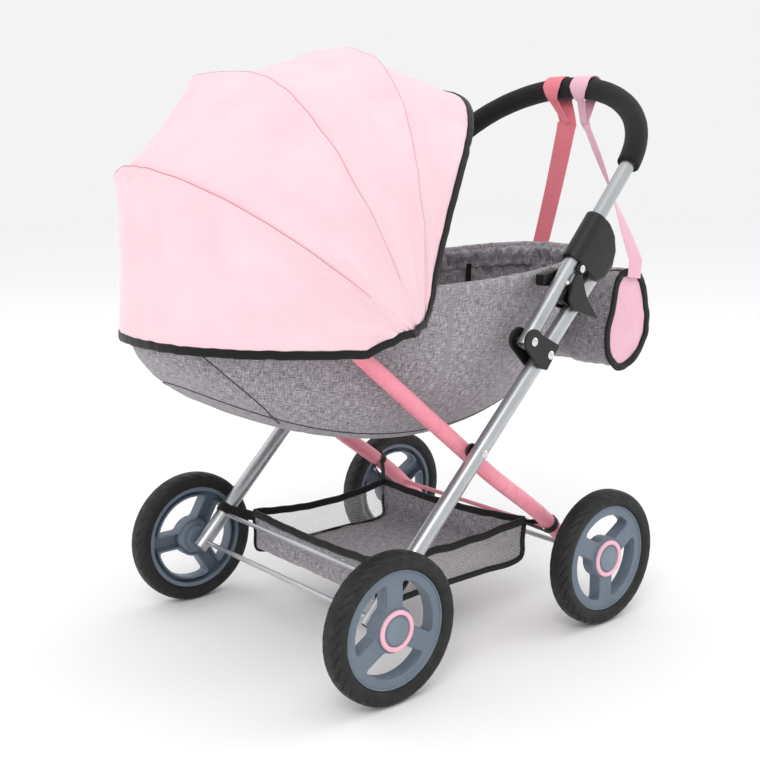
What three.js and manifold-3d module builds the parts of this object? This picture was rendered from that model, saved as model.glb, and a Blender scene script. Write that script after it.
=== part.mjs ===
// Doll pram: a folding crossed-tube chassis on four wheels, with a carrycot, hood, basket and bag.
// Millimetres, +Z up. The handle is at +Y and the hood end at -Y. Left is +X.
// Inside the model y is counted from the front axle; one group moves it all so that y = 0 is mid-length.

import * as THREE from 'three';
import { mergeVertices } from 'three/addons/utils/BufferGeometryUtils.js';
import Module from 'manifold-3d';

const wasm = await Module();
wasm.setup();

// ---- driving dimensions ----

const FRONT_AXLE_Y = -156.34;
const WHEELBASE = 304.6;
const WHEEL_RADIUS = 75;
const WHEEL_WIDTH = 24.6;
const WHEEL_X = 178.5;
const RIM_OUTER_RADIUS = 58.8;
const RIM_INNER_RADIUS = 48;
const HUB_RADIUS = 20;
const AXLE_RADIUS = 2.8;
const RUNNING_GAP = 0.4;

const LEG_X = 152;
const LEG_RADIUS = 8.5;
const LEG_SLOPE = 1.0065;
const LEG_BASE_Z = 74.3;
const LEG_TOP_Y = 312;
const REAR_TUBE_X = 131;
const REAR_TUBE_RADIUS = 8.5;
const HANDLE_RADIUS = 8;
const HANDLE_ANGLE = THREE.MathUtils.degToRad(48.7);
const HANDLE_HALF_SPAN = 152;
const GRIP_RADIUS = 12.5;

const HINGE = { y: 206, z: 323 };
const SCISSOR = { y: 140.4, z: 215.6 };
const FRONT_PIVOT = { y: -25, z: 354 };

const RIM_CENTRE_Y = 133;
const RIM_HALF_LENGTH = 279;
const RIM_HALF_WIDTH = 125;
const RIM_TUBE_RADIUS = 4;
const CARRYCOT_POWER = 2.4;
const FABRIC = 3;

const HOOD_HINGE = { y: 77, z: 327 };
const BOW_WIRE_RADIUS = 1.6;

const BASKET = { halfWidth: 110, front: 42, rear: 254, bottom: 65, top: 112, inset: 2 };
const BAG_HALF_WIDTH = 102;

// ---- materials ----

function finish(color, roughness, metalness = 0) {
  return new THREE.MeshStandardMaterial({ color, roughness, metalness });
}

const tyreBlack = finish('#17181a', 0.8);
const rimGrey = finish('#6f7d8d', 0.45);
const paintPink = finish('#fdb3c1', 0.35);
const silver = finish('#c9cccf', 0.3, 0.8);
const plasticBlack = finish('#141516', 0.5);
const foamBlack = finish('#1c1c1d', 0.95);
const wireSteel = finish('#b8bcc0', 0.35, 0.8);
const melangeGrey = finish('#8d868b', 0.9);
const hoodPink = finish('#f9d5de', 0.85);
const bagGrey = finish('#857e83', 0.9);
const strapPink = finish('#f3a9b5', 0.8);
const boardGrey = finish('#9a9794', 0.8);

// Sides of the small round pieces (rods, rivets and their holes) and of the tubes.
const SMALL_SIDES = 10;
const TUBE_SIDES = 10;

// ---- geometry helpers ----

// A solid for joining and cutting, from a closed geometry.
function toSolid(geometry) {
  const bare = geometry.clone();
  bare.deleteAttribute('normal');
  bare.deleteAttribute('uv');
  const merged = mergeVertices(bare);
  const vertProperties = new Float32Array(merged.attributes.position.array);
  const triVerts = new Uint32Array(merged.index.array);
  return new wasm.Manifold(new wasm.Mesh({ numProp: 3, vertProperties, triVerts }));
}

function toGeometry(solid) {
  const { vertProperties, triVerts } = solid.getMesh();
  const geometry = new THREE.BufferGeometry();
  geometry.setAttribute('position', new THREE.BufferAttribute(new Float32Array(vertProperties), 3));
  geometry.setIndex(new THREE.BufferAttribute(new Uint32Array(triVerts), 1));
  geometry.computeVertexNormals();
  return geometry;
}

function join(...geometries) {
  return toGeometry(geometries.map(toSolid).reduce((a, b) => a.add(b)));
}

function cut(geometry, ...tools) {
  return toGeometry(tools.map(toSolid).reduce((a, b) => a.subtract(b), toSolid(geometry)));
}

// A round bar along X from x0 to x1, centred on (y, z).
function barX(radius, x0, x1, { y, z }, sides = SMALL_SIDES) {
  const geometry = new THREE.CylinderGeometry(radius, radius, Math.abs(x1 - x0), sides);
  geometry.rotateZ(Math.PI / 2);
  geometry.translate((x0 + x1) / 2, y, z);
  return geometry;
}

// A flat piece with an outline in the side plane, from x0 to x1. Outline points are [y, z].
function plateX(outline, x0, x1) {
  const shape = new THREE.Shape(outline.map(([y, z]) => new THREE.Vector2(y, z)));
  const depth = Math.abs(x1 - x0);
  const geometry = new THREE.ExtrudeGeometry(shape, { depth, bevelEnabled: false });
  const basis = new THREE.Matrix4().makeBasis(
    new THREE.Vector3(0, 1, 0),
    new THREE.Vector3(0, 0, 1),
    new THREE.Vector3(1, 0, 0),
  );
  geometry.applyMatrix4(basis);
  geometry.translate(Math.min(x0, x1), 0, 0);
  return geometry;
}

// A tube of regular section swept along a curve.
function sweep(curve, radius, sides, steps) {
  const corners = Array.from({ length: sides }, (_, i) => {
    const angle = (2 * Math.PI * i) / sides;
    return new THREE.Vector2(radius * Math.cos(angle), radius * Math.sin(angle));
  });
  const shape = new THREE.Shape(corners);
  return new THREE.ExtrudeGeometry(shape, { steps, bevelEnabled: false, extrudePath: curve });
}

// A ring about the X axis. The profile is a closed list of [radius, x] pairs, outer side first.
function ringX(profile, segments) {
  const points = [...profile, profile[0]].map(([r, x]) => new THREE.Vector2(r, x));
  const geometry = new THREE.LatheGeometry(points, segments);
  geometry.rotateZ(-Math.PI / 2);
  return geometry;
}

function geometryFrom(positions, faces) {
  const geometry = new THREE.BufferGeometry();
  geometry.setAttribute('position', new THREE.Float32BufferAttribute(positions.flat(), 3));
  geometry.setIndex(faces.flat());
  geometry.computeVertexNormals();
  return geometry;
}

// A closed body through a list of rings with equal numbers of points, closed at both ends by fans.
// Rings run counter-clockwise as seen from the end they advance towards.
function loft(rings) {
  const count = rings[0].length;
  const positions = rings.flat();
  const faces = [];
  for (let i = 0; i + 1 < rings.length; i += 1) {
    for (let j = 0; j < count; j += 1) {
      const a = i * count + j;
      const b = i * count + ((j + 1) % count);
      faces.push([a, b, b + count], [a, b + count, a + count]);
    }
  }
  const ends = [[0, true], [rings.length - 1, false]];
  for (const [ringIndex, isStart] of ends) {
    const ring = rings[ringIndex];
    const centre = [0, 1, 2].map((k) => ring.reduce((sum, p) => sum + p[k], 0) / count);
    const middle = positions.push(centre) - 1;
    for (let j = 0; j < count; j += 1) {
      const a = ringIndex * count + j;
      const b = ringIndex * count + ((j + 1) % count);
      faces.push(isStart ? [middle, b, a] : [middle, a, b]);
    }
  }
  return geometryFrom(positions, faces);
}

// A thin sheet with thickness, from two grids of points with the same shape.
function slab(outer, inner) {
  const rows = outer.length;
  const columns = outer[0].length;
  const positions = [...outer.flat(), ...inner.flat()];
  const under = rows * columns;
  const at = (i, j) => i * columns + j;
  const faces = [];
  const quad = (a, b, c, d) => faces.push([a, b, c], [a, c, d]);
  for (let i = 0; i + 1 < rows; i += 1) {
    for (let j = 0; j + 1 < columns; j += 1) {
      quad(at(i, j), at(i + 1, j), at(i + 1, j + 1), at(i, j + 1));
      quad(under + at(i, j), under + at(i, j + 1), under + at(i + 1, j + 1), under + at(i + 1, j));
    }
  }
  const edge = (a, b) => quad(a, b, under + b, under + a);
  for (let i = 0; i + 1 < rows; i += 1) {
    edge(at(i + 1, 0), at(i, 0));
    edge(at(i, columns - 1), at(i + 1, columns - 1));
  }
  for (let j = 0; j + 1 < columns; j += 1) {
    edge(at(0, j), at(0, j + 1));
    edge(at(rows - 1, j + 1), at(rows - 1, j));
  }
  return geometryFrom(positions, faces);
}

const pram = new THREE.Group();
const model = new THREE.Group();
model.position.y = FRONT_AXLE_Y;
pram.add(model);

function addMesh(name, geometry, material, parent = model) {
  const mesh = new THREE.Mesh(geometry, material);
  mesh.name = name;
  parent.add(mesh);
  return mesh;
}

const SIDES = [['left', 1], ['right', -1]];

// ---- wheels: tyre, three-spoke rim, coloured ring and hub cap ----

const HALF_TYRE = WHEEL_WIDTH / 2;
const HUB_FACE = 9;
const SPOKE_HALF_WIDTH = 10;
const HUB_BORE = AXLE_RADIUS + RUNNING_GAP;
const WHEEL_SIDES = 28;
const HUB_SIDES = 16;

function tyreGeometry() {
  const shoulder = HALF_TYRE - 4.5;
  const seat = RIM_OUTER_RADIUS;
  return ringX([
    [seat, -shoulder],
    [WHEEL_RADIUS - 6, -HALF_TYRE],
    [WHEEL_RADIUS - 1.5, -shoulder],
    [WHEEL_RADIUS, 0],
    [WHEEL_RADIUS - 1.5, shoulder],
    [WHEEL_RADIUS - 6, HALF_TYRE],
    [seat, shoulder],
  ], WHEEL_SIDES);
}

function rimGeometry(spokeAngle) {
  const ring = ringX([
    [RIM_INNER_RADIUS, -7],
    [RIM_OUTER_RADIUS - 0.3, -7],
    [RIM_OUTER_RADIUS - 0.3, 7],
    [RIM_INNER_RADIUS, 7],
  ], WHEEL_SIDES);
  const hub = ringX([
    [HUB_BORE, -15],
    [HUB_RADIUS - 6, -15],
    [HUB_RADIUS, -6],
    [HUB_RADIUS, HUB_FACE],
    [HUB_BORE, HUB_FACE],
  ], HUB_SIDES);
  const spokes = [0, 1, 2].map((turn) => {
    const length = RIM_INNER_RADIUS - HUB_BORE + 2;
    const spoke = new THREE.BoxGeometry(10, 2 * SPOKE_HALF_WIDTH, length);
    spoke.translate(0, 0, HUB_BORE + 2 + length / 2);
    spoke.rotateX(spokeAngle + (turn * 2 * Math.PI) / 3);
    return spoke;
  });
  return join(ring, hub, ...spokes);
}

function ringGeometry() {
  const front = HUB_FACE + 2;
  const back = HUB_FACE + 0.3;
  return ringX([[15.5, back], [HUB_RADIUS, back], [HUB_RADIUS, front], [15.5, front]], HUB_SIDES);
}

function capGeometry() {
  const cap = new THREE.CylinderGeometry(12, 12.8, 2.6, HUB_SIDES);
  cap.rotateZ(-Math.PI / 2);
  cap.translate(HUB_FACE + 1.9, 0, 0);
  return cap;
}

const WHEELS = [
  ['front_left', 1, 0, 0],
  ['front_right', -1, 0, Math.PI / 6],
  ['rear_left', 1, WHEELBASE, Math.PI],
  ['rear_right', -1, WHEELBASE, Math.PI / 3],
];

for (const [place, side, y, spokeAngle] of WHEELS) {
  const wheel = new THREE.Group();
  wheel.position.set(side * WHEEL_X, y, WHEEL_RADIUS);
  wheel.rotation.z = side > 0 ? 0 : Math.PI;
  model.add(wheel);
  addMesh(`tyre_${place}`, tyreGeometry(), tyreBlack, wheel);
  addMesh(`rim_${place}`, rimGeometry(spokeAngle), rimGrey, wheel);
  addMesh(`hub_ring_${place}`, ringGeometry(), paintPink, wheel);
  addMesh(`hub_cap_${place}`, capGeometry(), rimGrey, wheel);
}

// ---- axles and cross rods ----

const AXLE_END = WHEEL_X + HUB_FACE - 0.4;
const FRONT_CROSS_ROD = { y: 27, z: 103 };
const REAR_CROSS_ROD = { y: 283, z: 98 };
const CROSS_ROD_RADIUS = 2.5;
const FRONT_AXLE = { y: 0, z: WHEEL_RADIUS };
const REAR_AXLE = { y: WHEELBASE, z: WHEEL_RADIUS };

function crossHole(radius, x, centre, reach = 20) {
  return barX(radius, x - reach, x + reach, centre, SMALL_SIDES);
}

addMesh('front_axle', barX(AXLE_RADIUS, -AXLE_END, AXLE_END, FRONT_AXLE), silver);
addMesh('rear_axle', barX(AXLE_RADIUS, -AXLE_END, AXLE_END, REAR_AXLE), silver);
const FRONT_ROD_END = LEG_X + LEG_RADIUS + 2;
const REAR_ROD_END = REAR_TUBE_X + REAR_TUBE_RADIUS + 2;
addMesh(
  'front_cross_rod',
  barX(CROSS_ROD_RADIUS, -FRONT_ROD_END, FRONT_ROD_END, FRONT_CROSS_ROD),
  silver,
);
addMesh(
  'rear_cross_rod',
  barX(CROSS_ROD_RADIUS, -REAR_ROD_END, REAR_ROD_END, REAR_CROSS_ROD),
  paintPink,
);

for (const [sideName, side] of SIDES) {
  const start = side * (REAR_TUBE_X + REAR_TUBE_RADIUS + 0.5);
  const end = side * (WHEEL_X - 15.5);
  const sleeve = barX(6, start, end, REAR_AXLE, SMALL_SIDES);
  const bore = barX(HUB_BORE, start - side, end + side, REAR_AXLE, SMALL_SIDES);
  addMesh(`axle_sleeve_${sideName}`, cut(sleeve, bore), plasticBlack);
}

// ---- leg tubes: silver ones rise from the front axle to the handle ----

function legPoint(y) {
  return new THREE.Vector3(0, y, LEG_BASE_Z + LEG_SLOPE * y);
}

const SCISSOR_RIVET_RADIUS = 3;
const RIVET_RADIUS = 3;
const RIVET_GAP = 0.3;
const LEG_RIVET = { y: 230.7, z: 306.5 };

for (const [sideName, side] of SIDES) {
  const path = new THREE.LineCurve3(legPoint(-6), legPoint(LEG_TOP_Y));
  const tube = sweep(path, LEG_RADIUS, TUBE_SIDES, 1);
  tube.translate(side * LEG_X, 0, 0);
  const holes = [
    crossHole(AXLE_RADIUS + RIVET_GAP, side * LEG_X, FRONT_AXLE),
    crossHole(CROSS_ROD_RADIUS + RIVET_GAP, side * LEG_X, FRONT_CROSS_ROD),
    crossHole(SCISSOR_RIVET_RADIUS + RIVET_GAP, side * LEG_X, SCISSOR),
    crossHole(RIVET_RADIUS + RIVET_GAP, side * LEG_X, LEG_RIVET),
  ];
  addMesh(`leg_tube_${sideName}`, cut(tube, ...holes), silver);
}

// ---- rear tubes: pink ones rise from the rear axle, bend at the scissor rivet and reach the carrycot ----

const REAR_TUBE_ROUTE = [
  [WHEELBASE + 5, 71],
  [262, 117],
  [176, 183],
  [156, 200],
  [139, 214.5],
  [60, 281],
  [FRONT_PIVOT.y - 7, FRONT_PIVOT.z + 6],
];

for (const [sideName, side] of SIDES) {
  const route = REAR_TUBE_ROUTE.map(([y, z]) => new THREE.Vector3(side * REAR_TUBE_X, y, z));
  const path = new THREE.CatmullRomCurve3(route, false, 'centripetal');
  const tube = sweep(path, REAR_TUBE_RADIUS, TUBE_SIDES, 12);
  const holes = [
    crossHole(AXLE_RADIUS + RIVET_GAP, side * REAR_TUBE_X, REAR_AXLE),
    crossHole(CROSS_ROD_RADIUS + RIVET_GAP, side * REAR_TUBE_X, REAR_CROSS_ROD),
    crossHole(SCISSOR_RIVET_RADIUS + RIVET_GAP, side * REAR_TUBE_X, SCISSOR),
  ];
  addMesh(`rear_tube_${sideName}`, cut(tube, ...holes), paintPink);
}

// Scissor rivets join the two tubes on each side; a collar between the tubes keeps them apart.
for (const [sideName, side] of SIDES) {
  const inner = side * (REAR_TUBE_X - REAR_TUBE_RADIUS - 2.4);
  const outer = side * (LEG_X + LEG_RADIUS + 2.4);
  const shaft = barX(SCISSOR_RIVET_RADIUS, inner, outer, SCISSOR, SMALL_SIDES);
  const innerHead = barX(5.5, inner, inner + side * 2, SCISSOR, SMALL_SIDES);
  const outerHead = barX(5.5, outer - side * 2, outer, SCISSOR, SMALL_SIDES);
  const collarStart = side * (REAR_TUBE_X + REAR_TUBE_RADIUS + 0.4);
  const collarEnd = side * (LEG_X - LEG_RADIUS - 0.4);
  const collar = barX(8, collarStart, collarEnd, SCISSOR, SMALL_SIDES);
  addMesh(`scissor_rivet_${sideName}`, join(shaft, innerHead, outerHead, collar), plasticBlack);
}

// ---- hinge brackets: two black plates on each leg tube carry the foot of the handle tube ----

const PLATE = 3;
const PLATE_INNER = LEG_RADIUS + 0.4;
const BRACKET_BOSS_RADIUS = 13;

function bracketOutline() {
  const points = [];
  for (let degrees = 30; degrees <= 215; degrees += 37) {
    const angle = THREE.MathUtils.degToRad(degrees);
    points.push([
      HINGE.y + BRACKET_BOSS_RADIUS * Math.cos(angle),
      HINGE.z + BRACKET_BOSS_RADIUS * Math.sin(angle),
    ]);
  }
  points.push([HINGE.y + 10, HINGE.z - 29]);
  points.push([HINGE.y + 20, HINGE.z - 32]);
  points.push([HINGE.y + 39, HINGE.z - 8]);
  return points;
}

for (const [sideName, side] of SIDES) {
  const x = (offset) => side * LEG_X + offset;
  const holeReach = 25;
  const pivotHole = crossHole(RIVET_RADIUS + RIVET_GAP, side * LEG_X, HINGE, holeReach);
  const legHole = crossHole(RIVET_RADIUS + RIVET_GAP, side * LEG_X, LEG_RIVET, holeReach);
  const plates = [
    plateX(bracketOutline(), x(PLATE_INNER), x(PLATE_INNER + PLATE)),
    plateX(bracketOutline(), x(-PLATE_INNER - PLATE), x(-PLATE_INNER)),
  ];
  const spacerPlace = { y: HINGE.y + 16, z: HINGE.z - 5 };
  const spacer = barX(2.4, x(-PLATE_INNER - 1), x(PLATE_INNER + 1), spacerPlace, 10);
  const bracket = cut(join(...plates, spacer), pivotHole, legHole);
  addMesh(`hinge_bracket_${sideName}`, bracket, plasticBlack);

  for (const [name, place] of [['hinge_rivet', HINGE], ['leg_rivet', LEG_RIVET]]) {
    const reach = PLATE_INNER + PLATE + 2;
    const shaft = barX(RIVET_RADIUS, x(-reach), x(reach), place, SMALL_SIDES);
    const heads = [
      barX(4.6, x(reach - 1.6), x(reach), place, SMALL_SIDES),
      barX(4.6, x(-reach), x(-reach + 1.6), place, SMALL_SIDES),
    ];
    addMesh(`${name}_${sideName}`, join(shaft, ...heads), silver);
  }
}

// ---- handle: one tube bent into an arch, with a foam grip ----

// Distances along the handle are counted from this point on its straight part.
const HANDLE_DATUM = { y: 287, z: 414.6 };
const ARCH_START = 106;
const ARCH_RISE = 120;
const GRIP_START = 110;

function handlePoint(x, along) {
  const y = HANDLE_DATUM.y + along * Math.cos(HANDLE_ANGLE);
  const z = HANDLE_DATUM.z + along * Math.sin(HANDLE_ANGLE);
  return new THREE.Vector3(x, y, z);
}

class HandleArch extends THREE.Curve {
  // The arch runs from one side of the handle to the other between the two given angles.
  constructor(startAngle, endAngle) {
    super();
    this.startAngle = startAngle;
    this.endAngle = endAngle;
  }

  getPoint(t) {
    const angle = this.startAngle + t * (this.endAngle - this.startAngle);
    const along = ARCH_START + ARCH_RISE * Math.sin(angle);
    return handlePoint(HANDLE_HALF_SPAN * Math.cos(angle), along);
  }
}

const alongAtHinge = -(HANDLE_DATUM.y - HINGE.y) / Math.cos(HANDLE_ANGLE);
const handlePath = new THREE.CurvePath();
const handleFoot = (side) => handlePoint(side * HANDLE_HALF_SPAN, alongAtHinge - 6);
const archFoot = (side) => handlePoint(side * HANDLE_HALF_SPAN, ARCH_START);
handlePath.add(new THREE.LineCurve3(handleFoot(1), archFoot(1)));
handlePath.add(new HandleArch(0, Math.PI));
handlePath.add(new THREE.LineCurve3(archFoot(-1), handleFoot(-1)));

const handleHoles = SIDES.flatMap(([, side]) => [
  crossHole(RIVET_RADIUS + RIVET_GAP, side * LEG_X, HINGE),
]);
addMesh('handle_tube', cut(sweep(handlePath, HANDLE_RADIUS, TUBE_SIDES, 34), ...handleHoles), silver);

const gripAngle = Math.asin((GRIP_START - ARCH_START) / ARCH_RISE);
const gripPath = new HandleArch(gripAngle, Math.PI - gripAngle);
const gripBody = sweep(gripPath, GRIP_RADIUS, TUBE_SIDES, 18);
const gripBore = sweep(new HandleArch(0, Math.PI), HANDLE_RADIUS + 1.6, TUBE_SIDES, 20);
addMesh('handle_grip', cut(gripBody, gripBore), foamBlack);

// ---- lock collars: each slides on the handle tube and caps the top of the leg tube ----

// A side-plane point given as [along the handle tube, away from it towards the rear and down].
function besideHandle(along, away) {
  const y = HANDLE_DATUM.y + along * Math.cos(HANDLE_ANGLE) + away * Math.sin(HANDLE_ANGLE);
  const z = HANDLE_DATUM.z + along * Math.sin(HANDLE_ANGLE) - away * Math.cos(HANDLE_ANGLE);
  return [y, z];
}

const COLLAR_HALF_WIDTH = 12.4;
const COLLAR_OUTLINE = [
  [-20, -11.5],
  [34, -11.5],
  [38, -4],
  [38, 12],
  [33, 30],
  [22, 42],
  [8, 48],
  [-8, 47],
  [-17, 40],
  [-21, 14],
];

function handleBar(radius, from, to) {
  const path = new THREE.LineCurve3(handlePoint(0, from), handlePoint(0, to));
  return sweep(path, radius, 12, 1);
}

for (const [sideName, side] of SIDES) {
  const outline = COLLAR_OUTLINE.map(([along, away]) => besideHandle(along, away));
  const body = plateX(outline, -COLLAR_HALF_WIDTH, COLLAR_HALF_WIDTH);
  const channel = handleBar(HANDLE_RADIUS + 0.5, -60, 80);
  const slotOutline = [[-40, 24.5], [4, 24.5], [4, 70], [-40, 70]];
  const slot = plateX(slotOutline.map(([a, b]) => besideHandle(a, b)), -9.2, 9.2);
  const collar = cut(body, channel, slot);
  collar.translate(side * LEG_X, 0, 0);
  addMesh(`lock_collar_${sideName}`, collar, plasticBlack);
}

// ---- finger levers: each hangs from its collar beside the leg tube ----

const LEVER_OUTLINE = [
  [262, 378],
  [268, 389],
  [277, 387],
  [281, 374],
  [286, 362],
  [304, 337],
  [280, 345],
  [264, 352],
  [256, 361],
];
const LEVER_INNER = LEG_RADIUS + 1;

for (const [sideName, side] of SIDES) {
  const lever = plateX(LEVER_OUTLINE, side * (LEG_X + LEVER_INNER), side * (LEG_X + LEVER_INNER + 3.6));
  addMesh(`finger_lever_${sideName}`, lever, plasticBlack);
}

// ---- carrycot: oval rim tube, fabric shell and base board ----

function rimHeight(y) {
  const behind = Math.max(0, (y - 105) / 310);
  const ahead = Math.max(0, (105 - y) / 255);
  return 380 + 17 * behind * behind + 5 * ahead * ahead;
}

function bellyHeight(y) {
  const fromLowest = y - 140;
  return 217 + 0.0011 * fromLowest * fromLowest;
}

// A point on a rounded oval: power 2 is an ellipse, and more is squarer.
function ovalPoint(angle, halfX, halfY, centreY, power) {
  const c = Math.cos(angle);
  const s = Math.sin(angle);
  const x = halfX * Math.sign(c) * Math.abs(c) ** (2 / power);
  const y = centreY + halfY * Math.sign(s) * Math.abs(s) ** (2 / power);
  return [x, y];
}

class RimCurve extends THREE.Curve {
  getPoint(t) {
    const [x, y] = ovalPoint(
      t * 2 * Math.PI,
      RIM_HALF_WIDTH,
      RIM_HALF_LENGTH,
      RIM_CENTRE_Y,
      CARRYCOT_POWER,
    );
    return new THREE.Vector3(x, y, rimHeight(y));
  }
}

addMesh('carrycot_rim', new THREE.TubeGeometry(new RimCurve(), 40, RIM_TUBE_RADIUS, 6, true), silver);

// Shell sections from rim to floor: depth share, half width, front end and rear end.
const SHELL_SECTIONS = [
  [0, 124, -147, 413],
  [0.3, 122.5, -151, 411],
  [0.5, 117, -151, 405],
  [0.7, 107, -147, 392],
  [0.82, 97, -138, 379],
  [0.92, 83, -125, 363],
  [0.98, 66, -98, 344],
  [1, 45, -57, 320],
  [1, 10, 40, 230],
];
const SHELL_TOP_DROP = 5;
const SHELL_POINTS = 28;

function shellRing([depth, halfWidth, front, rear], wall) {
  const centre = (front + rear) / 2;
  const halfLength = (rear - front) / 2 - wall;
  return Array.from({ length: SHELL_POINTS }, (_, i) => {
    const angle = (2 * Math.PI * i) / SHELL_POINTS;
    const [x, y] = ovalPoint(angle, halfWidth - wall, halfLength, centre, CARRYCOT_POWER);
    const top = rimHeight(y) - SHELL_TOP_DROP;
    const lift = depth > 0 ? wall : 0;
    return [x, y, top + (bellyHeight(y) - top) * depth + lift * depth];
  });
}

const shellOuter = SHELL_SECTIONS.map((section) => shellRing(section, 0));
const shellInner = SHELL_SECTIONS.map((section) => shellRing(section, FABRIC));
addMesh('carrycot_shell', loft([...shellOuter.reverse(), ...shellInner]), melangeGrey);

const BOARD = { halfWidth: 82, front: 24, rear: 285, bottom: 250, thickness: 4 };
const boardRing = (z) => Array.from({ length: 28 }, (_, i) => {
  const centre = (BOARD.front + BOARD.rear) / 2;
  const halfLength = (BOARD.rear - BOARD.front) / 2;
  const angle = (2 * Math.PI * i) / 28;
  return [...ovalPoint(angle, BOARD.halfWidth, halfLength, centre, 4), z];
});
const boardRings = [boardRing(BOARD.bottom), boardRing(BOARD.bottom + BOARD.thickness)];
addMesh('base_board', loft(boardRings), boardGrey);

// Rim connectors hold the rim to the handle tubes; front brackets hang from the rim to the rear tubes.
const CONNECTOR_OUTLINE = [
  [232, 375],
  [258, 376],
  [268, 379],
  [270, 387],
  [265, 394],
  [250, 392],
  [232, 391],
];
const FRONT_BRACKET_OUTLINE = [
  [-36, 350],
  [-30, 345],
  [-18, 345],
  [-12, 352],
  [-8, 374],
  [-44, 374],
];

for (const [sideName, side] of SIDES) {
  const connector = plateX(CONNECTOR_OUTLINE, side * (LEG_X - HANDLE_RADIUS - 0.6), side * 130.5);
  addMesh(`rim_connector_${sideName}`, connector, plasticBlack);
  const bracket = plateX(FRONT_BRACKET_OUTLINE, side * 117.8, side * 120.4);
  const hole = crossHole(RIVET_RADIUS + RIVET_GAP, side * 119, FRONT_PIVOT, 6);
  addMesh(`rim_bracket_${sideName}`, cut(bracket, hole), plasticBlack);
}

// ---- hood: four wire bows and four fabric gores ----

// Each bow stands in a plane through the hood hinge: angle above +Y, half width, height, squareness.
// rise is the power that rounds its height where that differs from BOW_RISE_POWER.
// The last one, at the opening, is also scooped forward between its feet and its top.
const BOWS = [
  { name: 'hood_bow_front', angle: 143, halfWidth: 149, radius: 282, square: 1.8, rise: 3.1 },
  { name: 'hood_bow_middle', angle: 117, halfWidth: 142.2, radius: 285.4, square: 3.3 },
  { name: 'hood_bow_rear', angle: 91, halfWidth: 137.6, radius: 280.8, square: 3.2 },
  { name: 'hood_bow_edge', angle: 64, halfWidth: 133, radius: 274, square: 3.1, scoop: 27 },
];
const HOOD_HEM = { angle: 176.6, halfWidth: 149.5, radius: 227, square: 2.3, rise: 2.25 };
const BOW_RISE_POWER = 2.6;
const BOW_FOOT = 0.09;

// A point of a bow at the given sweep from foot to foot, moved outward by an offset.
function bowPoint(bow, sweepAngle, offset = 0) {
  const c = Math.cos(sweepAngle);
  const s = Math.sin(sweepAngle);
  const x = (bow.halfWidth + offset) * Math.sign(c) * Math.abs(c) ** (2 / bow.square);
  const rise = (bow.radius + offset) * s ** (2 / (bow.rise ?? BOW_RISE_POWER));
  const angle = THREE.MathUtils.degToRad(bow.angle);
  const scoop = (bow.scoop ?? 0) * Math.sin(Math.PI * s ** (2 / BOW_RISE_POWER));
  const y = HOOD_HINGE.y + rise * Math.cos(angle) - scoop * Math.sin(angle);
  const z = HOOD_HINGE.z + rise * Math.sin(angle) + scoop * Math.cos(angle);
  return [x, y, z];
}

class BowCurve extends THREE.Curve {
  constructor(bow) {
    super();
    this.bow = bow;
  }

  getPoint(t) {
    const angle = BOW_FOOT + t * (Math.PI - 2 * BOW_FOOT);
    return new THREE.Vector3(...bowPoint(this.bow, angle));
  }
}

for (const bow of BOWS) {
  addMesh(bow.name, sweep(new BowCurve(bow), BOW_WIRE_RADIUS, 6, 18), wireSteel);
}

// A gore is a curved panel between two bows; it lies just outside the wires.
const GORE_LIFT = BOW_WIRE_RADIUS + 1.7;
const GORE_THICKNESS = 1.6;
const GORE_COLUMNS = 18;
const GORE_ROWS = 2;
const GORE_FOOT = 0.07;
const GORE_EDGE_GAP = 0.25;

function goreGeometry(front, rear) {
  const trimmed = { ...front, angle: front.angle - GORE_EDGE_GAP };
  const grid = (offset) => Array.from({ length: GORE_ROWS + 1 }, (_, i) => {
    const share = i / GORE_ROWS;
    return Array.from({ length: GORE_COLUMNS + 1 }, (_unused, j) => {
      const sweepAngle = GORE_FOOT + (j / GORE_COLUMNS) * (Math.PI - 2 * GORE_FOOT);
      const ahead = bowPoint(trimmed, sweepAngle, offset);
      const behind = bowPoint(rear, sweepAngle, offset);
      return ahead.map((value, k) => value + (behind[k] - value) * share);
    });
  });
  return slab(grid(GORE_LIFT + GORE_THICKNESS), grid(GORE_LIFT));
}

const GORE_EDGES = [HOOD_HEM, ...BOWS];
['hood_gore_front', 'hood_gore_middle', 'hood_gore_top', 'hood_gore_rear'].forEach((name, i) => {
  addMesh(name, goreGeometry(GORE_EDGES[i], GORE_EDGES[i + 1]), hoodPink);
});

// ---- basket: an open tray hung low between the tubes ----

function trayRing(halfWidth, front, rear, z, corner) {
  const points = [];
  const corners = [[1, 1, 0], [-1, 1, 90], [-1, -1, 180], [1, -1, 270]];
  for (const [sx, sy, start] of corners) {
    for (const turn of [0, 45, 90]) {
      const angle = THREE.MathUtils.degToRad(start + turn);
      const centreX = sx * (halfWidth - corner);
      const centreY = sy > 0 ? rear - corner : front + corner;
      points.push([centreX + corner * Math.cos(angle), centreY + corner * Math.sin(angle), z]);
    }
  }
  return points;
}

const { halfWidth: basketHalf, front: basketFront, rear: basketRear, inset: basketInset } = BASKET;
addMesh('basket', loft([
  trayRing(basketHalf - basketInset, basketFront + basketInset, basketRear - basketInset, BASKET.bottom, 8),
  trayRing(basketHalf, basketFront, basketRear, BASKET.top, 8),
  trayRing(basketHalf - FABRIC, basketFront + FABRIC, basketRear - FABRIC, BASKET.top, 6),
  trayRing(
    basketHalf - basketInset - FABRIC,
    basketFront + basketInset + FABRIC,
    basketRear - basketInset - FABRIC,
    BASKET.bottom + FABRIC,
    6,
  ),
]), bagGrey);

// ---- bag: a soft pouch behind the carrycot, hung from the handle by a strap ----

const BAG_SECTION = [
  [422, 259],
  [446, 268],
  [464, 290],
  [468, 318],
  [462, 348],
  [453, 366],
  [438, 376],
  [418, 374],
  [408, 362],
  [400, 332],
  [391, 300],
  [400, 270],
];
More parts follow.
